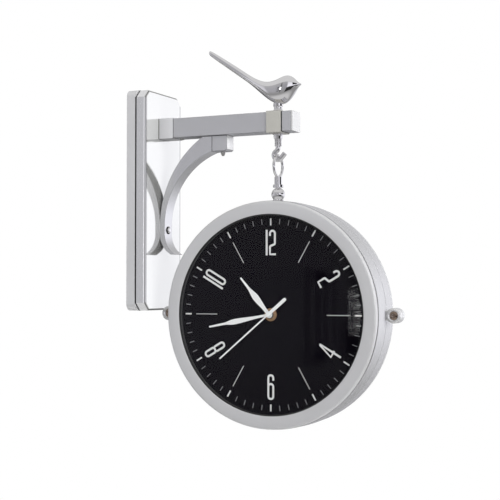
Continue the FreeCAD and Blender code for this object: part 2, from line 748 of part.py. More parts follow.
# The bird's cross-sections: distance along the arm from the post, underside and top above the
# bird's lowest point, half its width. The tail is straight, the body is smooth.
BIRD_TAIL = [(-76.5, 56.6, 60.8, 2.4), (-40.0, 31.1, 37.3, 3.2)]
BIRD_BODY = [
    (-40.0, 31.1, 37.3, 3.2), (-32.0, 25.0, 31.9, 4.6), (-24.0, 18.3, 27.4, 7.0),
    (-16.0, 11.3, 24.4, 9.9), (-8.0, 4.8, 23.7, 12.1), (0.0, 0.8, 25.7, 13.0),
    (6.0, 0.6, 28.4, 12.6), (11.5, 4.0, 29.3, 11.2), (16.5, 9.8, 26.2, 8.6),
    (19.6, 14.6, 22.4, 5.0), (22.0, 17.4, 20.9, 2.4), (25.0, 18.8, 19.9, 0.7),
]
SECTION_POINTS = 12


def bird_section(along, low, high, half_width):
    """Closed smooth outline of one cross-section."""
    middle = (low + high) / 2
    half_height = (high - low) / 2
    points = []
    for step in range(SECTION_POINTS):
        angle = 2 * math.pi * step / SECTION_POINTS
        across = half_width * math.cos(angle)
        points.append(FreeCAD.Vector(along, across, middle + half_height * math.sin(angle)))
    curve = Part.BSplineCurve()
    curve.interpolate(Points=points, PeriodicFlag=True)
    return Part.Wire([curve.toShape()])


def bird():
    """Long-tailed bird on its post, and the stud that runs from bird to ferrule."""
    belly = hanger_top + s.post_height - s.post_sink
    form = doc.addObject("Part::Feature", "bird_form")
    tail = Part.makeLoft([bird_section(*section) for section in BIRD_TAIL], True, True)
    chest = Part.makeLoft([bird_section(*section) for section in BIRD_BODY], True, False)
    form.Shape = chest.fuse(tail)
    place(form, hook_x, 0, belly)
    stud_top = hanger_top + s.post_height + s.stud_in_bird
    socket = rod("bird_socket", s.stud_radius + s.fit_gap, s.stud_in_bird + s.seat_gap)
    place(socket, hook_x, 0, hanger_top + s.post_height)
    recess = rod("bird_recess", s.post_radius + s.fit_gap, s.post_height)
    place(recess, hook_x, 0, hanger_top)
    node(cut("bird_cut", form, [socket, recess]), "bird")

    bore = s.stud_radius + s.fit_gap
    post = turned("bird_post_body", [
        (bore, 0), (s.post_radius, 0), (s.post_waist, s.post_height / 3),
        (s.post_waist, s.post_height * 2 / 3), (s.post_radius, s.post_height), (bore, s.post_height),
    ])
    node(place(post, hook_x, 0, hanger_top), "bird_post")

    stud_low = hanger_under - s.stud_in_ferrule
    stud = rod("stud_rod", s.stud_radius, stud_top - stud_low)
    node(place(stud, hook_x, 0, stud_low), "hanger_stud")


hook_root = hanger_under - s.ferrule_height
hook_middle = hook_root - s.hook_straight - s.hook_bend * math.sqrt(3)
hook_saddle = hook_middle - s.hook_bend
eye_middle = hook_saddle + s.hook_wire + s.seat_gap + s.eye_wire - s.eye_radius


def hook():
    """Ferrule under the arm and the open hook in it, bent in the plane of the arm."""
    stud_bore = s.stud_radius + s.fit_gap
    hook_bore = s.hook_wire + s.fit_gap
    ferrule = turned("ferrule_body", [
        (hook_bore, 0), (s.ferrule_radius, 0), (s.ferrule_radius, s.ferrule_height - s.ferrule_cone),
        (s.ferrule_top_radius, s.ferrule_height - s.ferrule_rim), (s.ferrule_top_radius, s.ferrule_height),
        (stud_bore, s.ferrule_height), (stud_bore, s.ferrule_height - s.stud_in_ferrule - s.seat_gap),
        (0, s.ferrule_height - s.stud_in_ferrule - s.seat_gap), (0, s.hook_socket + s.seat_gap),
        (hook_bore, s.hook_socket + s.seat_gap),
    ])
    node(place(ferrule, hook_x, 0, hook_root), "hook_ferrule")

    body = new_body("hook_body")
    path = sketch_on(body, "XZ_Plane", "hook_path")
    shank = s.hook_socket + s.hook_straight
    centre = -shank - s.hook_bend * math.sqrt(3)
    lean = math.radians(48)
    tip_start = (s.hook_bend * math.sin(lean), centre - s.hook_bend * math.cos(lean))
    draw(path, [
        (0, 0),
        (0, -shank, (s.hook_bend, "right")),
        (-s.hook_bend / 2, -shank - s.hook_bend * math.sqrt(3) / 2, (s.hook_bend, "left")),
        (0, centre - s.hook_bend, (s.hook_bend, "left")),
        tip_start,
        (tip_start[0] + s.hook_tip * math.cos(lean), tip_start[1] + s.hook_tip * math.sin(lean)),
    ], closed=False)
    section = sketch_on(body, "XY_Plane", "hook_section")
    draw_circle(section, 0, 0, s.hook_wire)
    pipe = body.newObject("PartDesign::AdditivePipe", "hook_pipe")
    pipe.Profile = section
    pipe.Spine = path
    node(place(body, hook_x, 0, hook_root + s.hook_socket), "hook")


flange_under = eye_middle - s.eye_radius - s.neck_length - s.flange_thick
ball_middle = flange_under - s.seat_gap - s.ball_radius
case_top = ball_middle - s.ball_radius - s.fit_gap
clock_z = case_top - s.case_radius
wall_inside = case_top - s.case_wall
washer_under = wall_inside - s.seat_gap - s.washer_thick
nut_under = washer_under - s.eye_nut_height


def eye():
    """Eye ring with its neck, flange and stud, the ball it turns on and the nut that holds it."""
    ring_part = doc.addObject("Part::Torus", "eye_torus")
    bind(ring_part, "Radius1", s.eye_radius)
    bind(ring_part, "Radius2", s.eye_wire)
    place(ring_part, hook_x, 0, eye_middle, ALONG_X)
    neck_low = flange_under + s.flange_thick
    neck = rod("eye_neck", s.neck_radius, s.neck_length)
    place(neck, hook_x, 0, neck_low)
    flange = rod("eye_flange", s.flange_radius, s.flange_thick)
    place(flange, hook_x, 0, flange_under)
    stud = rod("eye_stud", s.eye_stud_radius, flange_under - nut_under)
    place(stud, hook_x, 0, nut_under)
    node(fuse("eye_fuse", [ring_part, neck, flange, stud]), "eye_bolt")

    bore = s.eye_stud_radius + s.fit_gap
    edge = root(s.ball_radius * s.ball_radius - bore * bore)
    foot_edge = root(s.ball_radius * s.ball_radius - s.ball_foot_radius * s.ball_foot_radius)
    ball = turned("ball_body", [
        (bore, -s.ball_radius), (s.ball_foot_radius, -s.ball_radius),
        (s.ball_foot_radius, -foot_edge, (s.ball_radius, "left")),
        (s.ball_radius, 0, (s.ball_radius, "left")), (bore, edge),
    ])
    node(place(ball, hook_x, 0, ball_middle), "top_ball")

    washer = ring("eye_washer_body", bore, s.washer_radius, 0, s.washer_thick)
    node(place(washer, hook_x, 0, washer_under), "eye_washer")
    nut = hexagon("eye_nut_body", s.eye_nut_radius, s.eye_nut_height, bore)
    node(place(nut, hook_x, 0, nut_under), "eye_nut")


def hexagon_corners(radius):
    """Corners of a hexagon with a corner to the right."""
    half = radius / 2
    side = radius * (math.sqrt(3) / 2)
    return [(radius, 0), (half, side), (-half, side), (-radius, 0), (-half, -side), (half, -side)]


def hexagon(name, radius, height, bore):
    """Hexagon nut with a plain bore, standing on z = 0."""
    body = new_body(name)
    outline = sketch_on(body, "XY_Plane", name + "_outline")
    draw(outline, hexagon_corners(radius))
    draw_circle(outline, 0, 0, bore)
    pad(body, outline, height)
    return body


# Heights above the seam in the dial frame
movement_depth = 2 * s.cell_radius + s.cell_clear + s.fit_gap + s.movement_wall
movement_back = s.movement_gap
ledge_front = movement_back + movement_depth
case_depth = ledge_front + s.skirt_depth + s.groove
case_inside = s.case_radius - s.case_wall
bezel_radius = s.case_radius - s.bezel_step
bezel_opening = bezel_radius - s.bezel_width
glass_radius = case_inside - s.glass_inset
ledge_radius = case_inside - s.ledge_width
bezel_low = case_depth + s.groove
bezel_face = bezel_low + s.bezel_height
lip_under = bezel_face - s.bezel_lip
glass_front = lip_under - s.gasket_thick
glass_back = glass_front - s.glass_thick
dial_front = ledge_front + s.dial_thick
case_mouth = s.case_radius - s.case_draft


def case_half(side, face):
    """Half of the round case with its dial ledge and two side lugs."""
    body = turned("case_" + side, [
        (case_inside, s.case_seam), (s.case_radius - s.case_seam_bevel, s.case_seam),
        (s.case_radius, s.case_seam + s.case_seam_bevel), (case_mouth, case_depth),
        (case_inside, case_depth), (case_inside, ledge_front), (ledge_radius, ledge_front),
        (ledge_radius, ledge_front - s.ledge_thick), (case_inside, ledge_front - s.ledge_thick),
    ])
    web_end = lug_reach - lug_counterbore - s.seat_gap
    half_web = s.lug_web / 2
    web = raised(sketch_on(body, "XY_Plane", "web_" + side), s.case_seam)
    floor = raised(sketch_on(body, "XY_Plane", "lug_floor_" + side), s.case_seam)
    for way in (-1, 1):
        start = way * (s.case_radius - s.case_wall / 2)
        end = way * web_end
        draw(web, rectangle(start, -half_web, end, half_web))
        draw_circle(floor, way * lug_reach, 0, lug_radius)
        draw_circle(floor, way * lug_reach, 0, s.lug_screw_radius + s.fit_gap)
    pad(body, web, s.lug_depth - 2 * s.lug_bevel)
    pad(body, floor, s.lug_floor - s.case_seam)
    rim = raised(sketch_on(body, "XY_Plane", "lug_rim_" + side), s.case_seam)
    for way in (-1, 1):
        draw_circle(rim, way * lug_reach, 0, lug_radius)
        draw_circle(rim, way * lug_reach, 0, lug_counterbore)
    rim_pad = pad(body, rim, s.lug_depth - s.case_seam)
    doc.recompute()
    lug_edges = [f"Edge{number}" for number, edge in enumerate(body.Shape.Edges, start=1)
                 if is_lug_edge(edge)]
    bevel = body.newObject("PartDesign::Chamfer", "lug_bevel_" + side)
    bevel.Base = (rim_pad, lug_edges)
    bind(bevel, "Size", s.lug_bevel)
    notch = sketch_on(body, "XZ_Plane", "stud_notch_" + side)
    draw_circle(notch, 0, 0, s.eye_stud_radius + s.fit_gap)
    pocket = body.newObject("PartDesign::Pocket", "stud_notch_cut_" + side)
    pocket.Profile = notch
    pocket.Type = "ThroughAll"
    node(seat(body, face), "case_" + side)


def is_lug_edge(edge):
    """True for the outer rim of a lug's front face."""
    if not isinstance(edge.Curve, Part.Circle):
        return False
    middle = edge.Curve.Center
    return (abs(edge.Curve.Radius - lug_radius.value) < 0.01
            and abs(abs(middle.x) - lug_reach.value) < 0.01
            and abs(middle.z - s.lug_depth.value) < 0.01)


def glazing(side, face):
    """Bezel, gasket, domed glass, spacer ring and dial of one face."""
    flat_start = glass_radius - s.glass_flange
    dome_radius = (flat_start * flat_start + s.glass_dome * s.glass_dome) / (2 * s.glass_dome)
    seat_radius = glass_radius + s.seat_gap
    skirt_outside = case_inside - s.fit_gap
    skirt_inside = skirt_outside - s.skirt_wall
    shoulder = bezel_face - s.bezel_round
    bezel = turned("bezel_" + side, [
        (bezel_opening, lip_under), (seat_radius, lip_under), (seat_radius, bezel_low),
        (skirt_inside, bezel_low), (skirt_inside, bezel_low - s.skirt_depth),
        (skirt_outside, bezel_low - s.skirt_depth), (skirt_outside, bezel_low),
        (bezel_radius, bezel_low), (bezel_radius, shoulder, (s.bezel_round, "left")),
        (bezel_radius - s.bezel_round, bezel_face), (bezel_opening + s.bezel_lip_bevel, bezel_face),
        (bezel_opening, bezel_face - s.bezel_lip_bevel),
    ])
    node(seat(bezel, face), "bezel_" + side)
    gasket = ring("gasket_" + side, flat_start + s.seat_gap, glass_radius, glass_front, lip_under)
    pair("glass_gaskets", seat(gasket, face))
    glass = turned("glass_" + side, [
        (0, glass_back + s.glass_dome), (0, glass_front + s.glass_dome, (dome_radius, "right")),
        (flat_start, glass_front), (glass_radius, glass_front), (glass_radius, glass_back),
        (flat_start, glass_back, (dome_radius, "left")),
    ])
    node(seat(glass, face), "glass_" + side)
    spacer = ring("spacer_" + side, glass_radius - s.spacer_wall, glass_radius, dial_front, glass_back)
    pair("spacer_rings", seat(spacer, face))
    dial = ring("dial_" + side, s.bush_radius + s.fit_gap, glass_radius, ledge_front, dial_front)
    node(seat(dial, face), "dial_" + side)


def lug_fasteners():
    """Socket screws in the front lugs and their nuts in the rear lugs."""
    for way in (-1, 1):
        length = 2 * s.lug_floor + s.lug_nut_height
        screw = fastener("lug_screw", s.lug_screw_head, s.lug_screw_head_height, s.lug_screw_radius, length)
        socket = raised(sketch_on(screw, "XY_Plane", "lug_socket"), s.lug_screw_head_height)
        draw(socket, hexagon_corners(s.lug_screw_socket))
        pocket = screw.newObject("PartDesign::Pocket", "lug_socket_cut")
        pocket.Profile = socket
        bind(pocket, "Length", s.lug_screw_socket_depth)
        place(screw, hook_x + way * lug_reach, -s.lug_floor, clock_z, FACING_FRONT)
        pair("lug_screws", screw)
        nut = hexagon("lug_nut", lug_counterbore - s.seat_gap, s.lug_nut_height,
                      s.lug_screw_radius + s.fit_gap)
        place(nut, hook_x + way * lug_reach, s.lug_floor, clock_z, FACING_REAR)
        pair("lug_nuts", nut)


# Heights inside the movement, above the seam
front_wall = ledge_front - s.movement_wall
cover_front = movement_back + s.movement_cover_thick
hour_wheel_front = front_wall - s.wheel_thick / 2
hour_wheel_back = hour_wheel_front - s.wheel_thick
setting_wheel_front = hour_wheel_back - s.wheel_thick / 2
setting_wheel_back = setting_wheel_front - s.wheel_thick
minute_pinion_back = setting_wheel_back - s.wheel_thick / 2
minute_pinion_front = hour_wheel_back - s.seat_gap
gear_distance = s.gear_module * ((MINUTE_PINION_TEETH + SETTING_WHEEL_TEETH) / 2)
hour_wheel_tip = s.gear_module * (HOUR_WHEEL_TEETH / 2 + TOOTH_TIP)
inside_half = (s.cell_length + s.cell_play) / 2 + s.contact_thick
bay_height = 2 * s.cell_radius + 2 * s.seat_gap
bay_top = -(hour_wheel_tip + s.gear_gap + s.movement_wall)
bay_bottom = bay_top - bay_height
hour_length = glass_radius - s.hour_inset
minute_length = glass_radius - s.minute_inset
second_length = glass_radius - s.second_inset
hour_hand_back = dial_front + s.bush_out + s.hand_clear
minute_hand_back = hour_hand_back + s.hand_step
second_hand_back = minute_hand_back + s.hand_step


def movement(side, face):
    """Housing with its bush, cover, cell, contacts, coil and board."""
    housing = new_body("housing_" + side)
    outside_half = inside_half + s.movement_wall
    outside = rectangle(-outside_half, bay_bottom - s.movement_wall, outside_half, outside_half)
    rim = raised(sketch_on(housing, "XY_Plane", "housing_rim_" + side), movement_back)
    draw(rim, outside)
    draw(rim, rectangle(-inside_half, bay_bottom, inside_half, inside_half))
    pad(housing, rim, movement_depth)
    wall = raised(sketch_on(housing, "XY_Plane", "housing_wall_" + side), front_wall)
    draw(wall, outside)
    draw_circle(wall, 0, 0, s.hour_tube + s.fit_gap)
    pad(housing, wall, s.movement_wall)
    partition = raised(sketch_on(housing, "XY_Plane", "partition_" + side), movement_back)
    draw(partition, rectangle(-inside_half, bay_top, inside_half, bay_top + s.movement_wall))
    pad(housing, partition, movement_depth)
    bush = raised(sketch_on(housing, "XY_Plane", "bush_" + side), front_wall)
    draw_circle(bush, 0, 0, s.bush_radius)
    draw_circle(bush, 0, 0, s.hour_tube + s.fit_gap)
    pad(housing, bush, dial_front + s.bush_out - front_wall)
    bearing = raised(sketch_on(housing, "XY_Plane", "bearing_" + side), front_wall)
    draw_circle(bearing, 0, gear_distance, s.setting_pivot + s.fit_gap)
    pocket = housing.newObject("PartDesign::Pocket", "bearing_hole_" + side)
    pocket.Profile = bearing
    pocket.Reversed = True
    bind(pocket, "Length", s.movement_wall / 2)
    node(seat(housing, face), "movement_housing_" + side)

    cover = new_body("cover_" + side)
    outline = raised(sketch_on(cover, "XY_Plane", "cover_outline_" + side), movement_back)
    edge = inside_half - s.fit_gap
    low = bay_top + s.movement_wall + s.fit_gap
    draw(outline, rectangle(-edge, low, edge, edge))
    draw_circle(outline, 0, gear_distance, s.setting_shaft + s.fit_gap)
    pad(cover, outline, s.movement_cover_thick)
    sink = raised(sketch_on(cover, "XY_Plane", "knob_sink_" + side), movement_back)
    draw_circle(sink, 0, gear_distance, s.knob_radius + s.seat_gap)
    pocket = cover.newObject("PartDesign::Pocket", "knob_sink_cut_" + side)
    pocket.Profile = sink
    pocket.Reversed = True
    bind(pocket, "Length", s.knob_thick - s.seat_gap)
    node(seat(cover, face), "movement_cover_" + side)

    cell_up = bay_top - bay_height / 2
    cell_height = front_wall - s.fit_gap - s.cell_radius
    body_length = s.cell_length - s.cell_button
    cell = turned("cell_" + side, [
        (0, 0), (s.cell_radius, 0), (s.cell_radius, body_length), (s.cell_button_radius, body_length),
        (s.cell_button_radius, s.cell_length), (0, s.cell_length),
    ])
    rotation, outward = face
    place(cell, hook_x + outward * s.cell_length / 2, outward * cell_height, cell_up + clock_z,
          rotation * ALONG_X)
    pair("cells", cell)

    for way in (-1, 1):
        plate = box("contact_" + side, s.contact_thick, s.contact_width, s.cell_radius)
        lift = front_wall - s.cell_radius
        near = way * inside_half if way < 0 else inside_half - s.contact_thick
        place(plate, hook_x - outward * near, outward * lift,
              cell_up - s.contact_width / 2 + clock_z, rotation)
        pair("battery_contacts", plate)

    coil = turned("coil_" + side, [
        (0, 0), (s.coil_radius, 0), (s.coil_radius, s.coil_length), (0, s.coil_length),
    ])
    place(coil, hook_x - outward * s.coil_across, outward * (front_wall - s.coil_radius),
          clock_z, UPRIGHT)
    pair("motor_coils", coil)
    board = box("board_" + side, s.board_width, s.board_height, s.board_thick)
    board_low = bay_top + s.movement_wall + s.seat_gap
    place(board, hook_x + outward * (inside_half - s.seat_gap), outward * (front_wall - s.board_thick),
          board_low + clock_z, rotation)
    pair("circuit_boards", board)


def dial_fixings(side, face):
    """Washer and brass nut on the dial's bush."""
    bore = s.bush_radius + s.fit_gap
    washer = ring("dial_washer_" + side, bore, s.dial_washer_radius, 0, s.dial_washer_thick)
    pair("dial_washers", seat(washer, face, dial_front))
    nut = hexagon("dial_nut_" + side, s.dial_nut_radius, s.dial_nut_thick, bore)
    pair("dial_nuts", seat(nut, face, dial_front + s.dial_washer_thick))


def toothed(teeth, thick, first_tooth):
    """Toothed disc standing on z = 0, with a tooth or a gap at the given angle in degrees."""
    module = s.gear_module.value
    pitch_radius = module * teeth / 2
    tip_radius = pitch_radius + TOOTH_TIP * module
    root_radius = pitch_radius - TOOTH_ROOT * module
    pitch = 2 * math.pi / teeth
    play = s.gear_play.value / pitch_radius
    half_root = pitch * 0.31 - play / 2
    half_tip = pitch * 0.15 - play / 4
    points = []
    for tooth in range(teeth):
        middle = math.radians(first_tooth) + tooth * pitch
        for radius, offset in ((root_radius, -half_root), (tip_radius, -half_tip),
                               (tip_radius, half_tip), (root_radius, half_root)):
            angle = middle + offset
            points.append(FreeCAD.Vector(radius * math.cos(angle), radius * math.sin(angle), 0))
    points.append(points[0])
    return Part.Face(Part.makePolygon(points)).extrude(FreeCAD.Vector(0, 0, thick.value))


def solid_rod(radius, low, high, up=0.0):
    """Cylinder between two heights, beside the axis by the given distance."""
    return Part.makeCylinder(radius.value, (high - low).value, FreeCAD.Vector(0, up, formula(low).value))


def lifted(shape, height, up=0.0):
    """Copy of a shape at a height, beside the axis by the given distance."""
    return shape.translated(FreeCAD.Vector(0, up, height.value))


def motion_work(side, face):
    """Minute pinion, setting wheel with its knob, hour wheel and seconds arbor."""
    minute_shape = lifted(toothed(MINUTE_PINION_TEETH, minute_pinion_front - minute_pinion_back, 90),
                          minute_pinion_back)
    minute_tube_end = minute_hand_back + s.hand_thick
    minute_shape = minute_shape.fuse(solid_rod(s.minute_tube, minute_pinion_back, minute_tube_end))
    bore = solid_rod(s.second_arbor + s.fit_gap, minute_pinion_back, minute_tube_end)
    minute = doc.addObject("Part::Feature", "minute_pinion_" + side)
    minute.Shape = minute_shape.cut(bore)
    node(seat(minute, face), "minute_pinion_" + side)

    hour_gap = 90 + 180 / HOUR_WHEEL_TEETH
    hour_shape = lifted(toothed(HOUR_WHEEL_TEETH, s.wheel_thick, hour_gap), hour_wheel_back)
    hour_tube_end = hour_hand_back + s.hand_thick
    hour_shape = hour_shape.fuse(solid_rod(s.hour_tube, hour_wheel_back, hour_tube_end))
    hour = doc.addObject("Part::Feature", "hour_wheel_" + side)
    hour.Shape = hour_shape.cut(solid_rod(s.minute_tube + s.fit_gap, hour_wheel_back, hour_tube_end))
    node(seat(hour, face), "hour_wheel_" + side)

    up = gear_distance.value
    wheel = lifted(toothed(SETTING_WHEEL_TEETH, s.wheel_thick, 90), setting_wheel_back, up)
    pinion_end = front_wall - s.seat_gap
    pinion = lifted(toothed(SETTING_PINION_TEETH, pinion_end - setting_wheel_front, 90),
                    setting_wheel_front, up)
    shaft = solid_rod(s.setting_shaft, movement_back, setting_wheel_back, up)
    knob_back = movement_back - s.seat_gap
    knob = solid_rod(s.knob_radius, knob_back, knob_back + s.knob_thick - s.seat_gap, up)
    pivot = solid_rod(s.setting_pivot, pinion_end, front_wall + s.movement_wall / 2 - s.seat_gap, up)
    setting = doc.addObject("Part::Feature", "setting_wheel_" + side)
    setting.Shape = wheel.multiFuse([pinion, shaft, knob, pivot])
    node(seat(setting, face), "setting_wheel_" + side)

    arbor_low = cover_front + s.seat_gap
    arbor = rod("arbor_" + side, s.second_arbor, second_hand_back - arbor_low)
    node(seat(arbor, face, arbor_low), "second_arbor_" + side)


def leaf_hand(name, length, width, shoulder, needle, hub, bore):
    """Leaf-shaped hand: a hub, a blade that swells to its shoulder, and a needle tip."""
    body = new_body(name)
    outline = sketch_on(body, "XY_Plane", name + "_blade")
    root_half = s.hand_root / 2
    tip_half = s.needle_width / 2
    half = width / 2
    widest = length * shoulder
    narrow = length * needle
    draw(outline, [
        (root_half, 0), (half, widest), (tip_half, narrow), (tip_half * 0.6, length),
        (-tip_half * 0.6, length), (-tip_half, narrow), (-half, widest), (-root_half, 0),
    ])
    pad(body, outline, s.hand_thick)
    disc = sketch_on(body, "XY_Plane", name + "_hub")
    draw_circle(disc, 0, 0, hub)
    pad(body, disc, s.hand_thick)
    hole = sketch_on(body, "XY_Plane", name + "_hole")
    draw_circle(hole, 0, 0, bore)
    pocket = body.newObject("PartDesign::Pocket", name + "_bore")
    pocket.Profile = hole
    pocket.Type = "ThroughAll"
    pocket.Reversed = True
    return body


def hands(side, face):
    """Hour, minute and second hands."""
    hour = leaf_hand("hour_hand_" + side, hour_length, s.hour_width, s.hour_shoulder, s.hour_needle,
                     s.hour_hub, s.hour_tube + s.fit_gap)
    node(seat(hour, face, hour_hand_back, HOUR_ANGLE), "hour_hand_" + side)
    minute = leaf_hand("minute_hand_" + side, minute_length, s.minute_width, s.minute_shoulder,
                       s.minute_needle, s.minute_hub, s.minute_tube + s.fit_gap)
    node(seat(minute, face, minute_hand_back, MINUTE_ANGLE), "minute_hand_" + side)

    second = new_body("second_hand_" + side)
    blade = sketch_on(second, "XY_Plane", "second_blade_" + side)
    half = s.second_width / 2
    tail_half = s.second_tail_width / 2
    tail_round = tail_half - s.second_tail
    draw(blade, [
        (tail_half, tail_round), (tail_half, 0), (half, 0), (half, second_length),
        (-half, second_length), (-half, 0), (-tail_half, 0),
        (-tail_half, tail_round, (tail_half, "left")), (0, -s.second_tail, (tail_half, "left")),
    ])
    pad(second, blade, s.second_thick)
    disc = sketch_on(second, "XY_Plane", "second_hub_" + side)
    draw_circle(disc, 0, 0, s.second_hub)
    pad(second, disc, s.second_hub_height)
    node(seat(second, face, second_hand_back, SECOND_ANGLE), "second_hand_" + side)


def build():
    """Makes every sub-part."""
    wall_base()
    wall_cover()
    cover_screws()
    arm()
    brace()
    bird()
    hook()
    eye()
    for side, rotation, outward in FACES:
        face = (rotation, outward)
        case_half(side, face)
        glazing(side, face)
        movement(side, face)
        motion_work(side, face)
        dial_fixings(side, face)
        hands(side, face)
    lug_fasteners()
    for label, pieces in pairs.items():
        node(group(label + "_group", pieces), label)
    doc.recompute()


def check():
    """Stops if any object failed or any sub-part is empty or broken."""
    for thing in doc.Objects:
        if "Invalid" in thing.State or "Error" in thing.State:
            raise RuntimeError(f"{thing.Label} failed: {thing.State}")
    for piece in nodes:
        if piece.Shape.isNull() or not piece.Shape.isValid() or not piece.Shape.Solids:
            raise RuntimeError(f"{piece.Label} has no valid solid")


def write():
    """Writes each sub-part to its own file."""
    os.makedirs("parts", exist_ok=True)
    for piece in nodes:
        piece.Shape.exportStep(os.path.join("parts", piece.Label + ".step"))
        print(f"{piece.Label}: {len(piece.Shape.Solids)} solids, {piece.Shape.Volume:.1f} mm3")
    print(len(nodes), "sub-parts")


build()
check()
write()
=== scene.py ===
# %% [markdown]
# # A double-sided wall clock on a bracket
#
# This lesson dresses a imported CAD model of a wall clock. A square arm on a wall plate carries a
# round case with a dial on each side, and a small chrome bird stands over the hook. The CAD solids
# are the frame: each stays where it is, and gets a finish. Where a surface needs a softer edge or
# a finer curve than the solid has, a new piece takes its place.

# %% Load the frame
import bpy
import bmesh
import json
import math
from mathutils import Matrix, Vector

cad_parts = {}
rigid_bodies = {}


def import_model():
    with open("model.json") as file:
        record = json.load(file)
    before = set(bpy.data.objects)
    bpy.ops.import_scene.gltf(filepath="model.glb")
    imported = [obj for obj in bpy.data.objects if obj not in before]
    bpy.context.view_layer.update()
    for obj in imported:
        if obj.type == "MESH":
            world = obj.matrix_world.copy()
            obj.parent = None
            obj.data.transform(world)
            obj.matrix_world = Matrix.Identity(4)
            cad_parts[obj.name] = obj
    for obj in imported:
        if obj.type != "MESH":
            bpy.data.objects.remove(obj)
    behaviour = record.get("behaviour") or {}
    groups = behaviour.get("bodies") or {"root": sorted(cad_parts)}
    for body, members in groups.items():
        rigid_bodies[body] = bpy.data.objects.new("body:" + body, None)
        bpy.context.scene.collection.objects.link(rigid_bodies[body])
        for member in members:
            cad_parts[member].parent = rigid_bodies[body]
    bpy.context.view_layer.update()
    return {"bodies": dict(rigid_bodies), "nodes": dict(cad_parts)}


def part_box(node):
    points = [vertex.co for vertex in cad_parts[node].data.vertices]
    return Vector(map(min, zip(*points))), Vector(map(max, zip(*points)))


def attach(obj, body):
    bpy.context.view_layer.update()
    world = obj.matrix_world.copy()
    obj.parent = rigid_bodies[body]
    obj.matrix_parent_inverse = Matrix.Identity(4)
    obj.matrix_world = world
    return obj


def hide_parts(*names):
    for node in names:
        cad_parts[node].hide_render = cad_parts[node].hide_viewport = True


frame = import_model()
nodes = frame["nodes"]
scene = bpy.context.scene

# %% [markdown]
# ## Where things are
#
# The frame is in metres, but a clock is easier to think of in millimetres, so sizes are written in
# millimetres and multiplied once. The dials share a frame of their own: x to the right, y up and z
# out of the glass, with z = 0 on the seam between the case halves. Two matrices take that frame to
# the front and to the rear of the case.

# %% The dial frame
MM = 0.001
ball_low, ball_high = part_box("top_ball")
dial_low, dial_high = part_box("dial_front")
HOOK_X = (ball_low.x + ball_high.x) / 2
CLOCK_Z = (dial_low.z + dial_high.z) / 2
clock_centre = Vector((HOOK_X, 0, CLOCK_Z))
TO_FRONT = Matrix.Translation(clock_centre) @ Matrix.Rotation(math.radians(90), 4, "X")
TO_REAR = (Matrix.Translation(clock_centre) @ Matrix.Rotation(math.radians(180), 4, "Z")
           @ Matrix.Rotation(math.radians(90), 4, "X"))
FACES = {"front": TO_FRONT, "rear": TO_REAR}
DIAL_Z = -dial_low.y / MM
print("hook axis x:", round(HOOK_X, 4), "clock centre z:", round(CLOCK_Z, 4))
print("dial face in front of the seam:", round(DIAL_Z, 2), "mm")

# %% [markdown]
# ## Two helpers
#
# Every new piece ends the same way: its faces are shaded smooth, edges sharper than a limit stay
# crisp, it rides on a body of the frame, and the solids it stands for are hidden. The second helper
# gives a finish to a solid that stays.


# %% Finish a piece, dress a solid
def publish(bm, name, body, finish, stands_for=(), place=None, sharp=32):
    """Turns a bmesh into a piece of the clock, in its place, on its body and in its finish."""
    if place is not None:
        bmesh.ops.transform(bm, matrix=place, verts=bm.verts)
    for face in bm.faces:
        face.smooth = True
    for edge in bm.edges:
        edge.smooth = edge.calc_face_angle(0) < math.radians(sharp)
    mesh = bpy.data.meshes.new(name)
    bm.to_mesh(mesh)
    bm.free()
    mesh.materials.append(finish)
    piece = bpy.data.objects.new(name, mesh)
    scene.collection.objects.link(piece)
    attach(piece, body)
    if stands_for:
        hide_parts(*stands_for)
    print(piece.name, len(mesh.polygons), "faces on", body)
    return piece


def dress(finish, *names):
    """Gives a finish to solids that stay."""
    for name in names:
        nodes[name].data.materials.clear()
        nodes[name].data.materials.append(finish)


# %% [markdown]
# ## Finishes
#
# A finish starts as a Principled shader. Noise on Object coordinates varies its colour, its roughness
# and its bump. A Bevel node rounds the solids' edges for the light, as lacquer does when it pools on a
# corner, and the same node tells where an edge is, so that the finish can be darker there: a painted
# shade along every edge.


# %% A base for every finish
def new_finish(name):
    """Material with its Principled shader and Object coordinates ready."""
    material = bpy.data.materials.new(name)
    material.use_nodes = True
    tree = material.node_tree
    shader = tree.nodes["Principled BSDF"]
    coordinates = tree.nodes.new("ShaderNodeTexCoord")
    return material, tree, shader, coordinates.outputs["Object"]


def add_noise(tree, coordinates, scale, detail=3.0, stretch=(1, 1, 1)):
    """Noise texture on stretched Object coordinates."""
    mapping = tree.nodes.new("ShaderNodeMapping")
    mapping.inputs["Scale"].default_value = stretch
    tree.links.new(coordinates, mapping.inputs["Vector"])
    noise = tree.nodes.new("ShaderNodeTexNoise")
    noise.inputs["Scale"].default_value = scale
    noise.inputs["Detail"].default_value = detail
    tree.links.new(mapping.outputs["Vector"], noise.inputs["Vector"])
    return noise.outputs["Fac"]


def as_colour(level):
    """Colour with its alpha, from three parts or from one grey level."""
    return (*level, 1) if isinstance(level, tuple) else (level, level, level, 1)


def add_ramp(tree, factor, low, high, start=0.3, end=0.7):
    """Colour ramp between two colours or two grey levels."""
    ramp = tree.nodes.new("ShaderNodeValToRGB")
    for stop, place, colour in zip(ramp.color_ramp.elements, (start, end), (low, high)):
        stop.position = place
        stop.color = as_colour(colour)
    tree.links.new(factor, ramp.inputs["Fac"])
    return ramp.outputs["Color"]


def add_range(tree, value, start, end):
    """Share that goes from zero to one as a value goes from start to end."""
    share = tree.nodes.new("ShaderNodeMapRange")
    share.inputs["From Min"].default_value = start
    share.inputs["From Max"].default_value = end
    tree.links.new(value, share.inputs["Value"])
    return share.outputs["Result"]


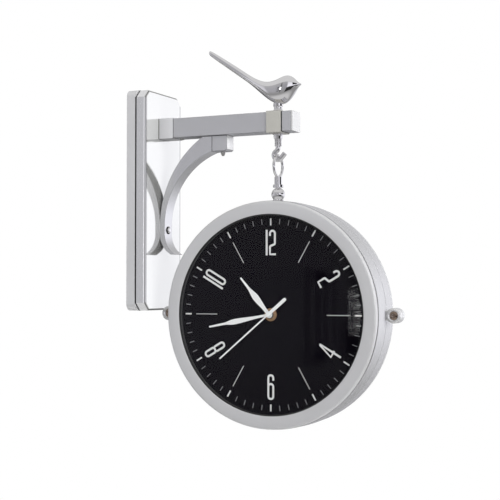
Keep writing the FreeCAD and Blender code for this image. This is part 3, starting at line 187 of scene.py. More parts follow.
def add_rounding(tree, radius):
    """Normal that is rounded near edges, and a mask of how near an edge is."""
    rounding = tree.nodes.new("ShaderNodeBevel")
    rounding.samples = 6
    rounding.inputs["Radius"].default_value = radius
    geometry = tree.nodes.new("ShaderNodeNewGeometry")
    match = tree.nodes.new("ShaderNodeVectorMath")
    match.operation = "DOT_PRODUCT"
    tree.links.new(rounding.outputs["Normal"], match.inputs[0])
    tree.links.new(geometry.outputs["Normal"], match.inputs[1])
    return rounding.outputs["Normal"], add_range(tree, match.outputs["Value"], 0.97, 0.80)


def add_bump(tree, shader, height, strength, distance, normal=None):
    """Bump from a height, over a rounded normal if there is one."""
    bump = tree.nodes.new("ShaderNodeBump")
    bump.inputs["Strength"].default_value = strength
    bump.inputs["Distance"].default_value = distance
    tree.links.new(height, bump.inputs["Height"])
    if normal:
        tree.links.new(normal, bump.inputs["Normal"])
    tree.links.new(bump.outputs["Normal"], shader.inputs["Normal"])


def add_mix(tree, factor, first, second):
    """Mixes two colours, each from a socket or fixed."""
    mix = tree.nodes.new("ShaderNodeMix")
    mix.data_type = "RGBA"
    tree.links.new(factor, mix.inputs["Factor"])
    for source, socket in ((first, mix.inputs["A"]), (second, mix.inputs["B"])):
        if isinstance(source, bpy.types.NodeSocket):
            tree.links.new(source, socket)
        else:
            socket.default_value = as_colour(source)
    return mix.outputs["Result"]


# %% [markdown]
# The arm, the case and the bezels are lacquered silver: a metallic paint whose fine flakes blur
# what it reflects. One recipe with a few numbers serves for all of them. The plate's cover is the
# palest and the smoothest, so the brace shows in it.


# %% Silver lacquer
CLOUD_SCALE = 18.0
FLAKE_SCALE = 900.0
FLAKE_DEPTH = 0.00004
FLAKE_SPREAD = 0.03


def silver_lacquer(name, light, dark, metallic, roughness, stretch=(1, 1, 1), edge=0.0005, relief=0.03,
                   rim=0.42):
    """Metallic paint with flakes and faint clouding. Its edges have the dark colour times rim, a painted
    shade.
    """
    material, tree, shader, coordinates = new_finish(name)
    normal, near_edge = add_rounding(tree, edge)
    clouds = add_noise(tree, coordinates, CLOUD_SCALE, 2.0)
    painted_edge_shade = tuple(rim * part for part in dark)
    colour = add_mix(tree, near_edge, add_ramp(tree, clouds, dark, light), painted_edge_shade)
    tree.links.new(colour, shader.inputs["Base Color"])
    flakes = add_noise(tree, coordinates, FLAKE_SCALE, 2.0, stretch)
    grain = add_ramp(tree, flakes, roughness - FLAKE_SPREAD, roughness + FLAKE_SPREAD)
    tree.links.new(grain, shader.inputs["Roughness"])
    add_bump(tree, shader, flakes, relief, FLAKE_DEPTH, normal)
    shader.inputs["Metallic"].default_value = metallic
    return material


arm_silver = silver_lacquer("arm_silver", (0.505, 0.505, 0.53), (0.475, 0.475, 0.50), 0.5, 0.40,
                            stretch=(0.15, 1, 1), edge=0.0011)
root_silver = silver_lacquer("root_silver", (0.80, 0.80, 0.82), (0.76, 0.76, 0.78), 0.5, 0.34)
collar_silver = silver_lacquer("collar_silver", (0.60, 0.59, 0.545), (0.57, 0.56, 0.515), 0.5, 0.34)
# The next two lacquers are paler than the arm's: painted light for the ends that face the right-hand lamp,
# the plate on the brace's end block and the arm's end cap.
end_plate_painted_light = silver_lacquer("end_plate_painted_light", (0.86, 0.86, 0.86), (0.83, 0.83, 0.83), 0.4, 0.3)
end_silver = silver_lacquer("end_silver", (0.635, 0.635, 0.635), (0.615, 0.615, 0.615), 0.4, 0.3)
bezel_silver = silver_lacquer("bezel_silver", (0.65, 0.65, 0.66), (0.62, 0.62, 0.63), 0.5, 0.38)
case_silver = silver_lacquer("case_silver", (0.58, 0.58, 0.59), (0.56, 0.56, 0.57), 0.68, 0.24,
                             relief=0.01)
lug_silver = silver_lacquer("lug_silver", (0.72, 0.72, 0.72), (0.69, 0.69, 0.69), 0.65, 0.16)
base_silver = silver_lacquer("base_silver", (0.72, 0.72, 0.73), (0.69, 0.69, 0.70), 0.5, 0.35)
print("silver finishes:", len(bpy.data.materials))

# %% [markdown]
# Three silver pieces are not the same all over. The plate's cover is mirror-bright on its face, with a
# thin grey line along both long edges. Its bevel has a grey, a dark and a light band, painted shade and a
# painted highlight, and its sides are plain silver. All that depends on where a point lies, so the colour
# is mixed by Object coordinates. The brace's back is painted dark, a painted shade that the cover's
# mirror shows. The collar at the arm's root is painted darker underneath, also painted shade. On these
# two the colour follows the way the surface faces.

# %% Plate and brace
plate_gloss = silver_lacquer("plate_gloss", (0.89, 0.895, 0.87), (0.875, 0.88, 0.855), 0.85, 0.09,
                             edge=0.0003, relief=0.004, rim=0.7)
brace_silver = silver_lacquer("brace_silver", (0.80, 0.80, 0.82), (0.77, 0.77, 0.79), 0.88, 0.22,
                              edge=0.0006, relief=0.004)


def tint_by(material, value, start, end, colour):
    """Blends a finish's colour into another as a value goes from start to end."""
    tree = material.node_tree
    shader = tree.nodes["Principled BSDF"]
    before = shader.inputs["Base Color"].links[0].from_socket
    tinted = add_mix(tree, add_range(tree, value, start, end), before, colour)
    tree.links.new(tinted, shader.inputs["Base Color"])


def part_of(material, kind, output, axis="X"):
    """One part of an Object coordinate or of a normal."""
    tree = material.node_tree
    source = tree.nodes.new(kind)
    parts = tree.nodes.new("ShaderNodeSeparateXYZ")
    tree.links.new(source.outputs[output], parts.inputs["Vector"])
    return parts.outputs[axis]


print("finishes to tint:", plate_gloss.name, brace_silver.name, root_silver.name)

# %% Tints by place and by facing
cover_low, cover_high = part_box("wall_cover")
across = part_of(plate_gloss, "ShaderNodeTexCoord", "Object", "Y")
LINE_INNER, LINE_OUTER = cover_high.y - 3.7 * MM, cover_high.y - 3.2 * MM
LINE_TINT = 0.50
for way in (-1, 1):
    tint_by(plate_gloss, across, way * LINE_INNER, way * LINE_OUTER, LINE_TINT)
from_wall = part_of(plate_gloss, "ShaderNodeTexCoord", "Object")
# Depth behind the cover's face from which each colour holds: three bands of painted shade and highlight on
# the bevel, then the sides
BANDS = [(0.2, 0.48), (0.7, 0.16), (1.3, 0.78), (2.0, (0.92, 0.92, 0.93))]
BLEND = 0.1
for depth, colour in BANDS:
    nearer, farther = (depth - BLEND) * MM, (depth + BLEND) * MM
    tint_by(plate_gloss, from_wall, cover_high.x - nearer, cover_high.x - farther, colour)
# Painted shade: the brace's faces that turn towards the wall are painted nearly black, and the cover's
# mirror shows them.
facing = part_of(brace_silver, "ShaderNodeNewGeometry", "Normal")
tint_by(brace_silver, facing, -0.05, -0.30, (0.05, 0.05, 0.055))
# Painted shade: the root collar's downward faces are painted darker.
below = part_of(root_silver, "ShaderNodeNewGeometry", "Normal", "Z")
tint_by(root_silver, below, -0.3, -0.6, (0.22, 0.22, 0.23))
print("cover face at", round(cover_high.x, 4), "bands on the bevel:", len(BANDS) - 1)

# %% [markdown]
# The bird and the hook are chromed, most screws are plain steel, the screws in the lugs are bronze and the
# nut on the dial is brass. These are bare metals. One recipe could serve each with a colour alone, but a
# polish also differs in roughness and in how much the surface waves, so the recipe takes those too.


# %% Polished metals
EDGE_SHARE = 0.5
SMEAR_SCALE = 60.0
WAVE_SCALE = 35.0


def polished_metal(name, light, dark, roughness, wave, edge=0.0004):
    """Bare metal with a faint wave in its polish. Its edges have the dark colour times EDGE_SHARE, a
    painted shade.
    """
    material, tree, shader, coordinates = new_finish(name)
    normal, near_edge = add_rounding(tree, edge)
    smears = add_noise(tree, coordinates, SMEAR_SCALE, 4.0)
    painted_edge_shade = tuple(EDGE_SHARE * part for part in dark)
    colour = add_mix(tree, near_edge, add_ramp(tree, smears, dark, light), painted_edge_shade)
    tree.links.new(colour, shader.inputs["Base Color"])
    tree.links.new(add_ramp(tree, smears, roughness, roughness * 1.6), shader.inputs["Roughness"])
    add_bump(tree, shader, add_noise(tree, coordinates, WAVE_SCALE, 1.0), wave, 0.001, normal)
    shader.inputs["Metallic"].default_value = 1.0
    return material


chrome = polished_metal("chrome", (0.88, 0.87, 0.88), (0.84, 0.83, 0.84), 0.05, 0.03, 0.0003)
bronze = polished_metal("bronze", (0.36, 0.28, 0.22), (0.24, 0.18, 0.14), 0.2, 0.08, 0.0002)
steel = polished_metal("steel", (0.58, 0.57, 0.56), (0.48, 0.47, 0.46), 0.24, 0.08, 0.0002)
brass = polished_metal("brass", (0.62, 0.38, 0.20), (0.48, 0.29, 0.15), 0.3, 0.06, 0.0002)
copper_wire = polished_metal("copper_wire", (0.55, 0.24, 0.10), (0.42, 0.17, 0.07), 0.35, 0.2)
print("metals:", chrome.name, bronze.name, steel.name, brass.name, copper_wire.name)


# %% [markdown]
# The dial is satin black, its print is off-white and grey ink, the hands are white lacquer, the gasket is
# black rubber and the movement is black plastic. The same black also fills thin gaps as painted shade.
# They share one recipe too: a coat of paint or a moulding with a fine grain.


# %% Paints and plastics
def coat(name, light, dark, roughness, grain=700.0, bump=0.05, shine=0.5):
    """Paint or moulded plastic with a fine grain."""
    material, tree, shader, coordinates = new_finish(name)
    patches = add_noise(tree, coordinates, 40.0, 3.0)
    tree.links.new(add_ramp(tree, patches, dark, light), shader.inputs["Base Color"])
    speckle = add_noise(tree, coordinates, grain, 2.0)
    tree.links.new(add_ramp(tree, speckle, roughness - 0.04, roughness + 0.04), shader.inputs["Roughness"])
    add_bump(tree, shader, speckle, bump, 0.0001)
    shader.inputs["Specular IOR Level"].default_value = shine
    return material


dial_black = coat("dial_black", (0.0022, 0.0014, 0.0036), (0.0016, 0.0010, 0.0030), 0.6,
                  bump=0.004, shine=0.03)
print_white = coat("print_white", (0.80, 0.80, 0.79), (0.75, 0.75, 0.74), 0.6)
print_grey = coat("print_grey", (0.21, 0.21, 0.22), (0.17, 0.17, 0.18), 0.6)
line_grey = coat("line_grey", 0.50, 0.44, 0.6)
hand_white = coat("hand_white", (0.96, 0.96, 0.95), (0.93, 0.93, 0.92), 0.35)
black_rubber_and_painted_shade = coat("black_rubber_and_painted_shade", 0.008, 0.004, 0.6)
black_plastic = coat("black_plastic", 0.02, 0.014, 0.5)
white_plastic = coat("white_plastic", (0.72, 0.72, 0.68), (0.66, 0.66, 0.62), 0.45)
cell_sleeve = coat("cell_sleeve", (0.10, 0.22, 0.17), (0.08, 0.18, 0.14), 0.35)
board_green = coat("board_green", (0.03, 0.16, 0.07), (0.02, 0.12, 0.05), 0.4)
print("finishes so far:", len(bpy.data.materials))

# %% [markdown]
# Clear glass is a transmissive shader. Light has to reach the dial under it, so shadow rays pass
# straight through: Light Path tells them apart. The index is lower than plain glass has, as if it were
# coated, so the dial stays black under it, and a faint noise varies the roughness.


# %% Glass
def for_ray(tree, ray, usual, special):
    """Takes another shader for one kind of ray."""
    path = tree.nodes.new("ShaderNodeLightPath")
    mix = tree.nodes.new("ShaderNodeMixShader")
    for source, socket in zip((path.outputs[ray], usual, special), mix.inputs):
        tree.links.new(source, socket)
    tree.links.new(mix.outputs["Shader"], tree.nodes["Material Output"].inputs["Surface"])


clear_glass, glass_tree, glass_shader, glass_coordinates = new_finish("clear_glass")
glass_smears = add_noise(glass_tree, glass_coordinates, 25.0, 2.0)
glass_tree.links.new(add_ramp(glass_tree, glass_smears, 0.0, 0.003), glass_shader.inputs["Roughness"])
glass_shader.inputs["Base Color"].default_value = (0.97, 0.98, 0.98, 1)
glass_shader.inputs["Transmission Weight"].default_value = 1.0
glass_shader.inputs["IOR"].default_value = 1.22
see_through = glass_tree.nodes.new("ShaderNodeBsdfTransparent")
for_ray(glass_tree, "Is Shadow Ray", glass_shader.outputs["BSDF"], see_through.outputs["BSDF"])
print("glass index:", round(glass_shader.inputs["IOR"].default_value, 2))

# %% [markdown]
# ## Dressing the solids
#
# Most solids are right as they are. They get their finishes here, piece by piece. What the two dials have
# alike goes by one name, which the helper below turns into two.


# %% Solids that stay
def both(*names):
    """Names of the front and the rear piece of each kind."""
    return [name + side for name in names for side in ("_front", "_rear")]


dress(base_silver, "wall_base")
dress(plate_gloss, "wall_cover")
dress(root_silver, "root_collar")
dress(arm_silver, "arm_tube", "brace_end_block")
dress(brace_silver, "brace")
dress(end_silver, "arm_end_cap")
dress(collar_silver, "hanger_collar")
dress(case_silver, *both("case"))
dress(chrome, "brace_foot_screw", "bird", "bird_post", "hook_ferrule", "hook", "eye_bolt", "top_ball")
dress(steel, "cover_screws", "root_block", "root_bolts", "root_screw", "brace_set_screw",
      "hanger_stud", "eye_washer", "eye_nut", "lug_nuts", "battery_contacts", *both("second_arbor"))
dress(bronze, "lug_screws")
dress(brass, "dial_nuts", "dial_washers")
dress(black_rubber_and_painted_shade, "glass_gaskets", "spacer_rings")
dress(dial_black, *both("dial"))
dress(hand_white, *both("hour_hand", "minute_hand", "second_hand"))
dress(black_plastic, *both("movement_housing", "movement_cover"))
dress(white_plastic, *both("minute_pinion", "hour_wheel", "setting_wheel"))
dress(cell_sleeve, "cells")
dress(copper_wire, "motor_coils")
dress(board_green, "circuit_boards")
print("solids dressed:", sum(1 for node in nodes.values() if node.data.materials))

# %% [markdown]
# ## Turned shapes
#
# Bezels, glasses, case and ferrule are all turned, and show long soft reflections, which facets would
# break. So each is spun again with more steps than the solid has. The profile is a chain of points, and
# spin carries it round the axis. A second helper gives the points of an arc.


# %% Spin a profile
def spun(profile, steps, closed=True, bm=None, place=None):
    """Spins (radius, height) points in millimetres round the z axis, alone or into a mesh."""
    bm = bm or bmesh.new()
    before = set(bm.verts)
    chain = [bm.verts.new((radius * MM, 0, height * MM)) for radius, height in profile]
    links = [bm.edges.new(pair) for pair in zip(chain, chain[1:])]
    if closed:
        links.append(bm.edges.new((chain[-1], chain[0])))
    bmesh.ops.spin(bm, geom=chain + links, cent=(0, 0, 0), axis=(0, 0, 1), angle=2 * math.pi,
                   steps=steps, use_merge=True)
    bmesh.ops.remove_doubles(bm, verts=[vert for vert in bm.verts if vert not in before], dist=1e-7)
    if place is not None:
        bmesh.ops.transform(bm, matrix=place, verts=[vert for vert in bm.verts if vert not in before])
    bmesh.ops.recalc_face_normals(bm, faces=bm.faces)
    return bm


def arc(centre, radius, start, end, steps):
    """Points of an arc, in degrees."""
    turns = [math.radians(start + (end - start) * step / steps) for step in range(steps + 1)]
    return [(centre[0] + radius * math.cos(turn), centre[1] + radius * math.sin(turn)) for turn in turns]


# %% [markdown]
# ## Bezels
#
# A bezel is a ring of bent sheet with a round shoulder. Its lip holds the glass, and a tongue behind it
# goes into the case. It could be a torus with a flattened face, but a drawn profile gives the lip and the
# tongue too. A black rubber lip sits inside it, and shows as a dark line round the glass.

# %% Bezel rings
ROUND_STEPS = 256
bezel_low, bezel_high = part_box("bezel_front")
BEZEL_R = (bezel_high.z - bezel_low.z) / 2 / MM
BEZEL_FACE = -bezel_low.y / MM
LIP_R = 99.4
LIP_THICK = 1.9
SEAT_R = 104.1
SKIRT = 4.2
TONGUE_IN, TONGUE_OUT, TONGUE = 107.75, 109.95, 7.8
HEEL, SHOULDER, LIP_ROUND = 0.3, 2.2, 0.4
bezel_profile = [(LIP_R, BEZEL_FACE - LIP_THICK), (SEAT_R, BEZEL_FACE - LIP_THICK),
                 (SEAT_R, BEZEL_FACE - SKIRT), (TONGUE_IN, BEZEL_FACE - SKIRT),
                 (TONGUE_IN, BEZEL_FACE - TONGUE), (TONGUE_OUT, BEZEL_FACE - TONGUE),
                 (TONGUE_OUT, BEZEL_FACE - SKIRT)]
bezel_profile += arc((BEZEL_R - HEEL, BEZEL_FACE - SKIRT + HEEL), HEEL, -90, 0, 3)
bezel_profile += arc((BEZEL_R - SHOULDER, BEZEL_FACE - SHOULDER), SHOULDER, 0, 90, 10)
bezel_profile += arc((LIP_R + LIP_ROUND, BEZEL_FACE - LIP_ROUND), LIP_ROUND, 90, 180, 5)
RUBBER_IN, RUBBER_OUT = LIP_R - 0.9, LIP_R - 0.03
lip_profile = [(RUBBER_IN, BEZEL_FACE - 2.2), (RUBBER_OUT, BEZEL_FACE - 2.2),
               (RUBBER_OUT, BEZEL_FACE - 0.6), (LIP_R - 0.3, BEZEL_FACE - 0.6),
               (RUBBER_IN, BEZEL_FACE - 1.6)]
for side, place in FACES.items():
    publish(spun(bezel_profile, ROUND_STEPS), "bezel_ring_" + side, "clock", bezel_silver,
            ["bezel_" + side], place)
    publish(spun(lip_profile, ROUND_STEPS), "gasket_lip_" + side, "clock", black_rubber_and_painted_shade, (),
            place)

# %% [markdown]
# ## Domed glasses
#
# Each glass is pressed to a shallow dome with a flat rim that sits under the bezel's lip. A cap cut from
# a sphere would lack the rim, so the dome's line is worked out from its width and its rise, and spun with
# it. The inner line is the same one, lower by the glass's thickness.

# %% Glass domes
GLASS_STEPS = 192
GLASS_R = 103.8
GLASS_THICK = 1.8
FLAT_FROM = 97.6
DOME = 9.7
DOME_POINTS = 40
GLASS_BACK = -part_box("glass_front")[1].y / MM
DOME_R = (FLAT_FROM ** 2 + DOME ** 2) / (2 * DOME)


def dome_line(base):
    """Points from the glass's middle to the edge of its dome."""
    radii = [FLAT_FROM * step / DOME_POINTS for step in range(DOME_POINTS + 1)]
    return [(radius, base + DOME - DOME_R + math.sqrt(DOME_R ** 2 - radius ** 2)) for radius in radii]


GLASS_FRONT = GLASS_BACK + GLASS_THICK
glass_profile = dome_line(GLASS_FRONT) + [(GLASS_R, GLASS_FRONT), (GLASS_R, GLASS_BACK)]
glass_profile += reversed(dome_line(GLASS_BACK))
for side, place in FACES.items():
    publish(spun(glass_profile, GLASS_STEPS, closed=False), "domed_glass_" + side, "clock",
            clear_glass, ["glass_" + side], place, sharp=60)

# %% [markdown]
# ## The dial's print
#
# The ticks are printed, so they are thin bars of ink. They could be drawn by the dial's material, but as
# meshes they keep a sharp edge at any distance. Each is a small box, turned to its minute, and all the
# bars of a kind are one mesh. Even hours have numerals, odd hours have a fine line.

# %% Ticks
INK = 0.06


def block(bm, centre, size, turn=Matrix()):
    """Adds a box to a mesh, its centre and size in millimetres, and returns its corners."""
    made = bmesh.ops.create_cube(bm, size=1)["verts"]
    scale = Matrix.Diagonal((*(part * MM for part in size), 1))
    bmesh.ops.transform(bm, matrix=turn @ Matrix.Translation(Vector(centre) * MM) @ scale, verts=made)
    return made


def bars(angles, start, end, width):
    """Bars of ink along the radius at the given clock angles."""
    bm = bmesh.new()
    for angle in angles:
        turn = Matrix.Rotation(-math.radians(angle), 4, "Z")
        block(bm, (0, (start + end) / 2, DIAL_Z + INK / 2), (width, end - start, INK), turn)
    return bm


hour_angles = [30 * hour for hour in range(12)]
minute_angles = [6 * minute for minute in range(60) if minute % 5]
line_angles = [30 * hour for hour in range(1, 12, 2)]
# Name, clock angles, inner and outer radius, width and ink
PRINT = [("hour_ticks_", hour_angles, 88.3, 95.2, 1.5, print_white),
         ("minute_ticks_", minute_angles, 89.6, 95.0, 0.85, print_grey),
         ("odd_hour_lines_", line_angles, 59.2, 83.0, 0.85, line_grey)]
for side, place in FACES.items():
    for name, angles, start, end, width, ink in PRINT:
        publish(bars(angles, start, end, width), name + side, "clock", ink, (), place)

# %% [markdown]
# ## Numerals
#
# The numerals are tall and narrow, all of one stroke width, as if drawn with one pen. A font would bring
# shapes of its own, so each digit is a chain of straight strokes and bows. A curve with a round nib
# follows the strokes, is made a mesh, and is pressed nearly flat. Each numeral is turned to its hour, and
# those in the lower half are turned round once more, so that none is upside down.

# %% Digits as pen strokes
DIGIT_HIGH = 23.3
DIGIT_WIDE = 5.3
PEN = 2.1
HALF = DIGIT_WIDE / 2
TOP = DIGIT_HIGH / 2


def bow(cx, cy, start, end, steps=10, radius=HALF):
    """Points of a pen's bow, in degrees."""
    return arc((cx, cy), radius, start, end, steps)


crown = TOP - HALF
loop = bow(0, crown, 0, 180) + bow(0, -crown, 180, 360)
DIGITS = {
    "0": [loop + [(HALF, crown)]],
    "1": [[(0, TOP + PEN / 2), (0, -TOP - PEN / 2)]],
    "2": [[(-HALF, 6.6)] + bow(0, crown, 180, 0) + [(HALF, -0.6)] + bow(HALF - 1.4, -0.6, 0, -60, 4, 1.4)
          + bow(1.4 - HALF, -4.6, 120, 180, 4, 1.4) + [(-HALF, -TOP), (HALF + PEN / 2, -TOP)]],
    "4": [[(1.9, -TOP - PEN / 2), (1.9, TOP), (1.1, TOP), (-3.2, -3.7), (3.9, -3.7)]],
    "6": [[(HALF, 6.4)] + bow(0, crown, 0, 180) + bow(0, -crown, 180, 360) + bow(0, 0.4, 0, 165)],
    "8": [bow(0, crown, 0, 180) + [(-HALF, 1.6), (0.7 - HALF, 0), (-HALF, -1.6)]
          + bow(0, -crown, 180, 360) + [(HALF, -1.6), (HALF - 0.7, 0), (HALF, 1.6), (HALF, crown)],
          [(0.7 - HALF, 0), (HALF - 0.7, 0)]],
}
print("digits drawn:", " ".join(DIGITS))


# %% Numerals on the dial
# Text, clock angle, and whether it is turned round
NUMERALS = [("12", 0, False), ("2", 60, False), ("4", 120, True), ("6", 180, True), ("8", 240, True),
            ("10", 300, False)]
NUMERAL_R = 71.3
PAIR_OFFSETS = [-4.4, 1.85]


def pen_mesh(strokes):
    """Mesh of pen strokes, each a list of points in millimetres, drawn in the dial frame."""
    curve = bpy.data.curves.new("pen", "CURVE")
    curve.dimensions = "3D"
    curve.bevel_depth = PEN / 2 * MM
    curve.bevel_resolution = 3
    curve.use_fill_caps = True
    for stroke in strokes:
        spline = curve.splines.new("POLY")
        spline.points.add(len(stroke) - 1)
        for point, (x, y) in zip(spline.points, stroke):
            point.co = (x * MM, y * MM, 0, 1)
    drawn = bpy.data.objects.new("pen", curve)
    scene.collection.objects.link(drawn)
    bpy.context.view_layer.update()
    mesh = bpy.data.meshes.new_from_object(drawn)
    bpy.data.objects.remove(drawn)
    return mesh


def numeral_strokes():
    """Strokes of all six numerals, each turned to its hour."""
    strokes = []
    for text, angle, flip in NUMERALS:
        offsets = PAIR_OFFSETS if len(text) == 2 else [0]
        for digit, offset in zip(text, offsets):
            for stroke in DIGITS[digit]:
                turned = []
                for x, y in stroke:
                    spot = Vector((x + offset, y, 0))
                    if flip:
                        spot = Matrix.Rotation(math.pi, 4, "Z") @ spot
                    spot += Vector((0, NUMERAL_R, 0))
                    spot = Matrix.Rotation(-math.radians(angle), 4, "Z") @ spot
                    turned.append((spot.x, spot.y))
                strokes.append(turned)
    return strokes


for side, place in FACES.items():
    bm = bmesh.new()
    bm.from_mesh(pen_mesh(numeral_strokes()))
    bmesh.ops.remove_doubles(bm, verts=bm.verts, dist=1e-7)
    flat = Matrix.Translation((0, 0, (DIAL_Z + INK / 2) * MM)) @ Matrix.Diagonal((1, 1, INK / PEN, 1))
    bmesh.ops.transform(bm, matrix=flat, verts=bm.verts)
    publish(bm, "numerals_" + side, "clock", print_white, (), place)

# %% [markdown]
# ## Hands
#
# The hour and minute hands are leaves stamped from sheet: narrow at the hub, widest on the way, and thin
# at the tip, with a faint fold along the middle. A list of radii and half widths gives the outline, eased
# from one to the next, and solidify gives the sheet its thickness. A flat cut-out would do from in front,
# but the fold parts the light along the hand. A small disc is the hub.


# %% Leaf hands
LEAF_STEPS = 8
FOLD = 0.03
HUB_BORE = 1.2
HUB_EDGE = 0.12


def leaf(knots, height, thick, hub, angle):
    """Leaf-shaped hand from (radius, half width) knots, with its hub, at a clock angle."""
    bm = bmesh.new()
    rows = []
    for (start, wide), (end, wide_next) in zip(knots, knots[1:]):
        for step in range(LEAF_STEPS):
            share = step / LEAF_STEPS
            eased = share * share * (3 - 2 * share)
            rows.append((start + (end - start) * share, wide + (wide_next - wide) * eased))
    rows.append(knots[-1])
    lines = [[bm.verts.new((side * half * MM, radius * MM, (height + fold) * MM))
              for side, fold in ((-1, 0), (0, FOLD), (1, 0))] for radius, half in rows]
    sheet = [bm.faces.new((low[k], low[k + 1], high[k + 1], high[k]))
             for low, high in zip(lines, lines[1:]) for k in (0, 1)]
    bm.normal_update()
    bmesh.ops.solidify(bm, geom=sheet, thickness=-thick * MM)
    top = height + thick
    spun([(HUB_BORE, height), (hub, height), (hub, top - HUB_EDGE), (hub - HUB_EDGE, top),
          (HUB_BORE, top)], 48, bm=bm)
    turn = Matrix.Rotation(-math.radians(angle), 3, "Z")
    bmesh.ops.rotate(bm, cent=(0, 0, 0), matrix=turn, verts=bm.verts)
    return bm


HAND_THICK = 0.5
HOUR_BACK = -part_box("hour_hand_front")[1].y / MM
MINUTE_BACK = -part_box("minute_hand_front")[1].y / MM
# Kind, back, hub radius and clock angle, then radius and half width along the hand
HANDS = [("hour", HOUR_BACK, 3.4, 319.6, [(0, 1.7), (6, 1.8), (22, 3.2), (36, 1.15), (47.2, 0.75),
                                          (48, 0.5)]),
         ("minute", MINUTE_BACK, 3.0, 258.9, [(0, 1.2), (10, 1.25), (38, 2.65), (50, 1.1), (65.7, 0.85),
                                              (66.5, 0.6)])]
for side, place in FACES.items():
    for kind, back, hub, angle, knots in HANDS:
        publish(leaf(knots, back, HAND_THICK, hub, angle), kind + "_leaf_" + side, kind + "_" + side,
                hand_white, [kind + "_hand_" + side], place)

# %% [markdown]
# ## Case halves
#
# The case is a spun pan in two halves. Each has a small chamfer where they meet, so the seam reads
# as a line, and a softer edge at the groove behind the bezel. The lugs at the sides are turned
# knobs with a counterbore for a socket screw, each tied to the pan by a short web. They could be cut from
# the pan's own mesh, but as bodies that overlap it they keep clean round edges.

# %% Case and lugs
CASE_R = 113.5
PAN_IN, PAN_END = 110, 20.4
CASE_PROFILE = [(PAN_IN, 0), (CASE_R - 0.4, 0), (CASE_R, 0.4), (CASE_R - 0.55, 19.9),
                (CASE_R - 0.9, PAN_END), (PAN_IN, PAN_END)]
LUG_X = 122.5
LUG_PROFILE = [(2.2, 0.15), (7.1, 0.15), (7.4, 0.45)] + arc((5.4, 5.5), 2.0, 0, 90, 8)
LUG_PROFILE += [(5.0, 7.5), (4.7, 7.2), (4.7, 3.5), (2.2, 3.5)]
WEB_X, WEB_Z = 115.5, 2.2
WEB_SIZE = (7, 9.6, 4.1)
WEB_ROUND = 0.9


def soften(bm, edges, offset, segments):
    """Bevels edges by an offset in millimetres."""
    bmesh.ops.bevel(bm, geom=edges, offset=offset * MM, affect="EDGES", segments=segments, profile=0.5,
                    material=-1)


for side, place in FACES.items():
    bm = spun(CASE_PROFILE, ROUND_STEPS)
    publish(bm, "case_pan_" + side, "clock", case_silver, ["case_" + side], place)
    bm = bmesh.new()
    for way in (-1, 1):
        web = block(bm, (way * WEB_X, 0, WEB_Z), WEB_SIZE)
        rims = [edge for edge in bm.edges if edge.verts[0] in web and edge.verts[1] in web]
        soften(bm, rims, WEB_ROUND, 3)
        spun(LUG_PROFILE, 64, bm=bm, place=Matrix.Translation((way * LUG_X * MM, 0, 0)))
    publish(bm, "case_lugs_" + side, "clock", lug_silver, (), place)

# %% [markdown]
# Two dark lines go round the case: the groove behind each bezel, and the seam between the halves. Gaps
# that thin would be lost in the light that soft lamps throw into them, so each is filled by a black ring
# that stays just below the surface.

# %% Groove and seam
GROOVE_PROFILE = [(PAN_IN, 20.3), (112.2, 20.3), (112.2, 22.1), (PAN_IN, 22.1)]
SEAM_PROFILE = [(112.6, -0.3), (113.3, -0.3), (113.3, 0.3), (112.6, 0.3)]
for side, place in FACES.items():
    publish(spun(GROOVE_PROFILE, ROUND_STEPS), "bezel_groove_" + side, "clock", black_rubber_and_painted_shade, (),
            place)
publish(spun(SEAM_PROFILE, ROUND_STEPS), "case_seam", "clock", black_rubber_and_painted_shade, (), TO_FRONT)

# %% [markdown]
# ## Ferrule, ball and post
#
# These are turned brass under chrome. Their grooves are a fraction of a millimetre, but they catch
# the light, and a bump in the finish would leave their outline smooth. So each profile is drawn groove
# by groove and spun.

# %% Turned chrome
ferrule_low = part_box("hook_ferrule")[0]
post_low, post_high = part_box("bird_post")
FERRULE = [(2.4, 0), (3.2, 0), (3.6, 0.4)]
for ring_start in (1.5, 3.1, 4.7):
    FERRULE += [(3.6, ring_start), (3.0, ring_start + 0.2), (3.0, ring_start + 0.7),
                (3.6, ring_start + 0.9)]
FERRULE += [(3.6, 6.2), (3.2, 6.4), (3.2, 7.0), (4.1, 7.2), (4.75, 10.4), (4.3, 10.7), (4.3, 11.3),
            (5.0, 11.6), (5.0, 12.5), (4.7, 12.8), (2.4, 12.8)]
publish(spun(FERRULE, 64), "grooved_ferrule", "bracket", chrome, ["hook_ferrule"],
        Matrix.Translation((HOOK_X, 0, ferrule_low.z)))
BALL_LIFT = 0.25
BALL = arc((0, 0), 6.8, 67, -48, 24) + [(5.2, -5.2), (5.5, -5.5), (5.5, -6.3), (4.6, -6.8), (2.65, -6.8)]
publish(spun(BALL, 96), "case_ball", "clock", chrome, ["top_ball"],
        Matrix.Translation((HOOK_X, 0, (ball_low.z + ball_high.z) / 2 + BALL_LIFT * MM)))
POST = [(2.6, 0), (4.9, 0), (5.1, 0.3), (5.1, 1.1), (4.6, 1.5), (4.25, 2.6), (4.2, 4.2), (4.4, 5.2),
        (4.9, 5.6), (4.9, 8.4), (4.5, 8.8), (2.6, 8.8)]
publish(spun(POST, 96), "finial_post", "bracket", chrome, ["bird_post"],
        Matrix.Translation((HOOK_X, 0, post_low.z)))

# %% [markdown]
# ## Washer of the foot screw
#
# The screw through the brace's foot has a black washer under its head, which sets the bright head off from
# the bright brace. It is one more spun ring, with its axis turned along the arm.

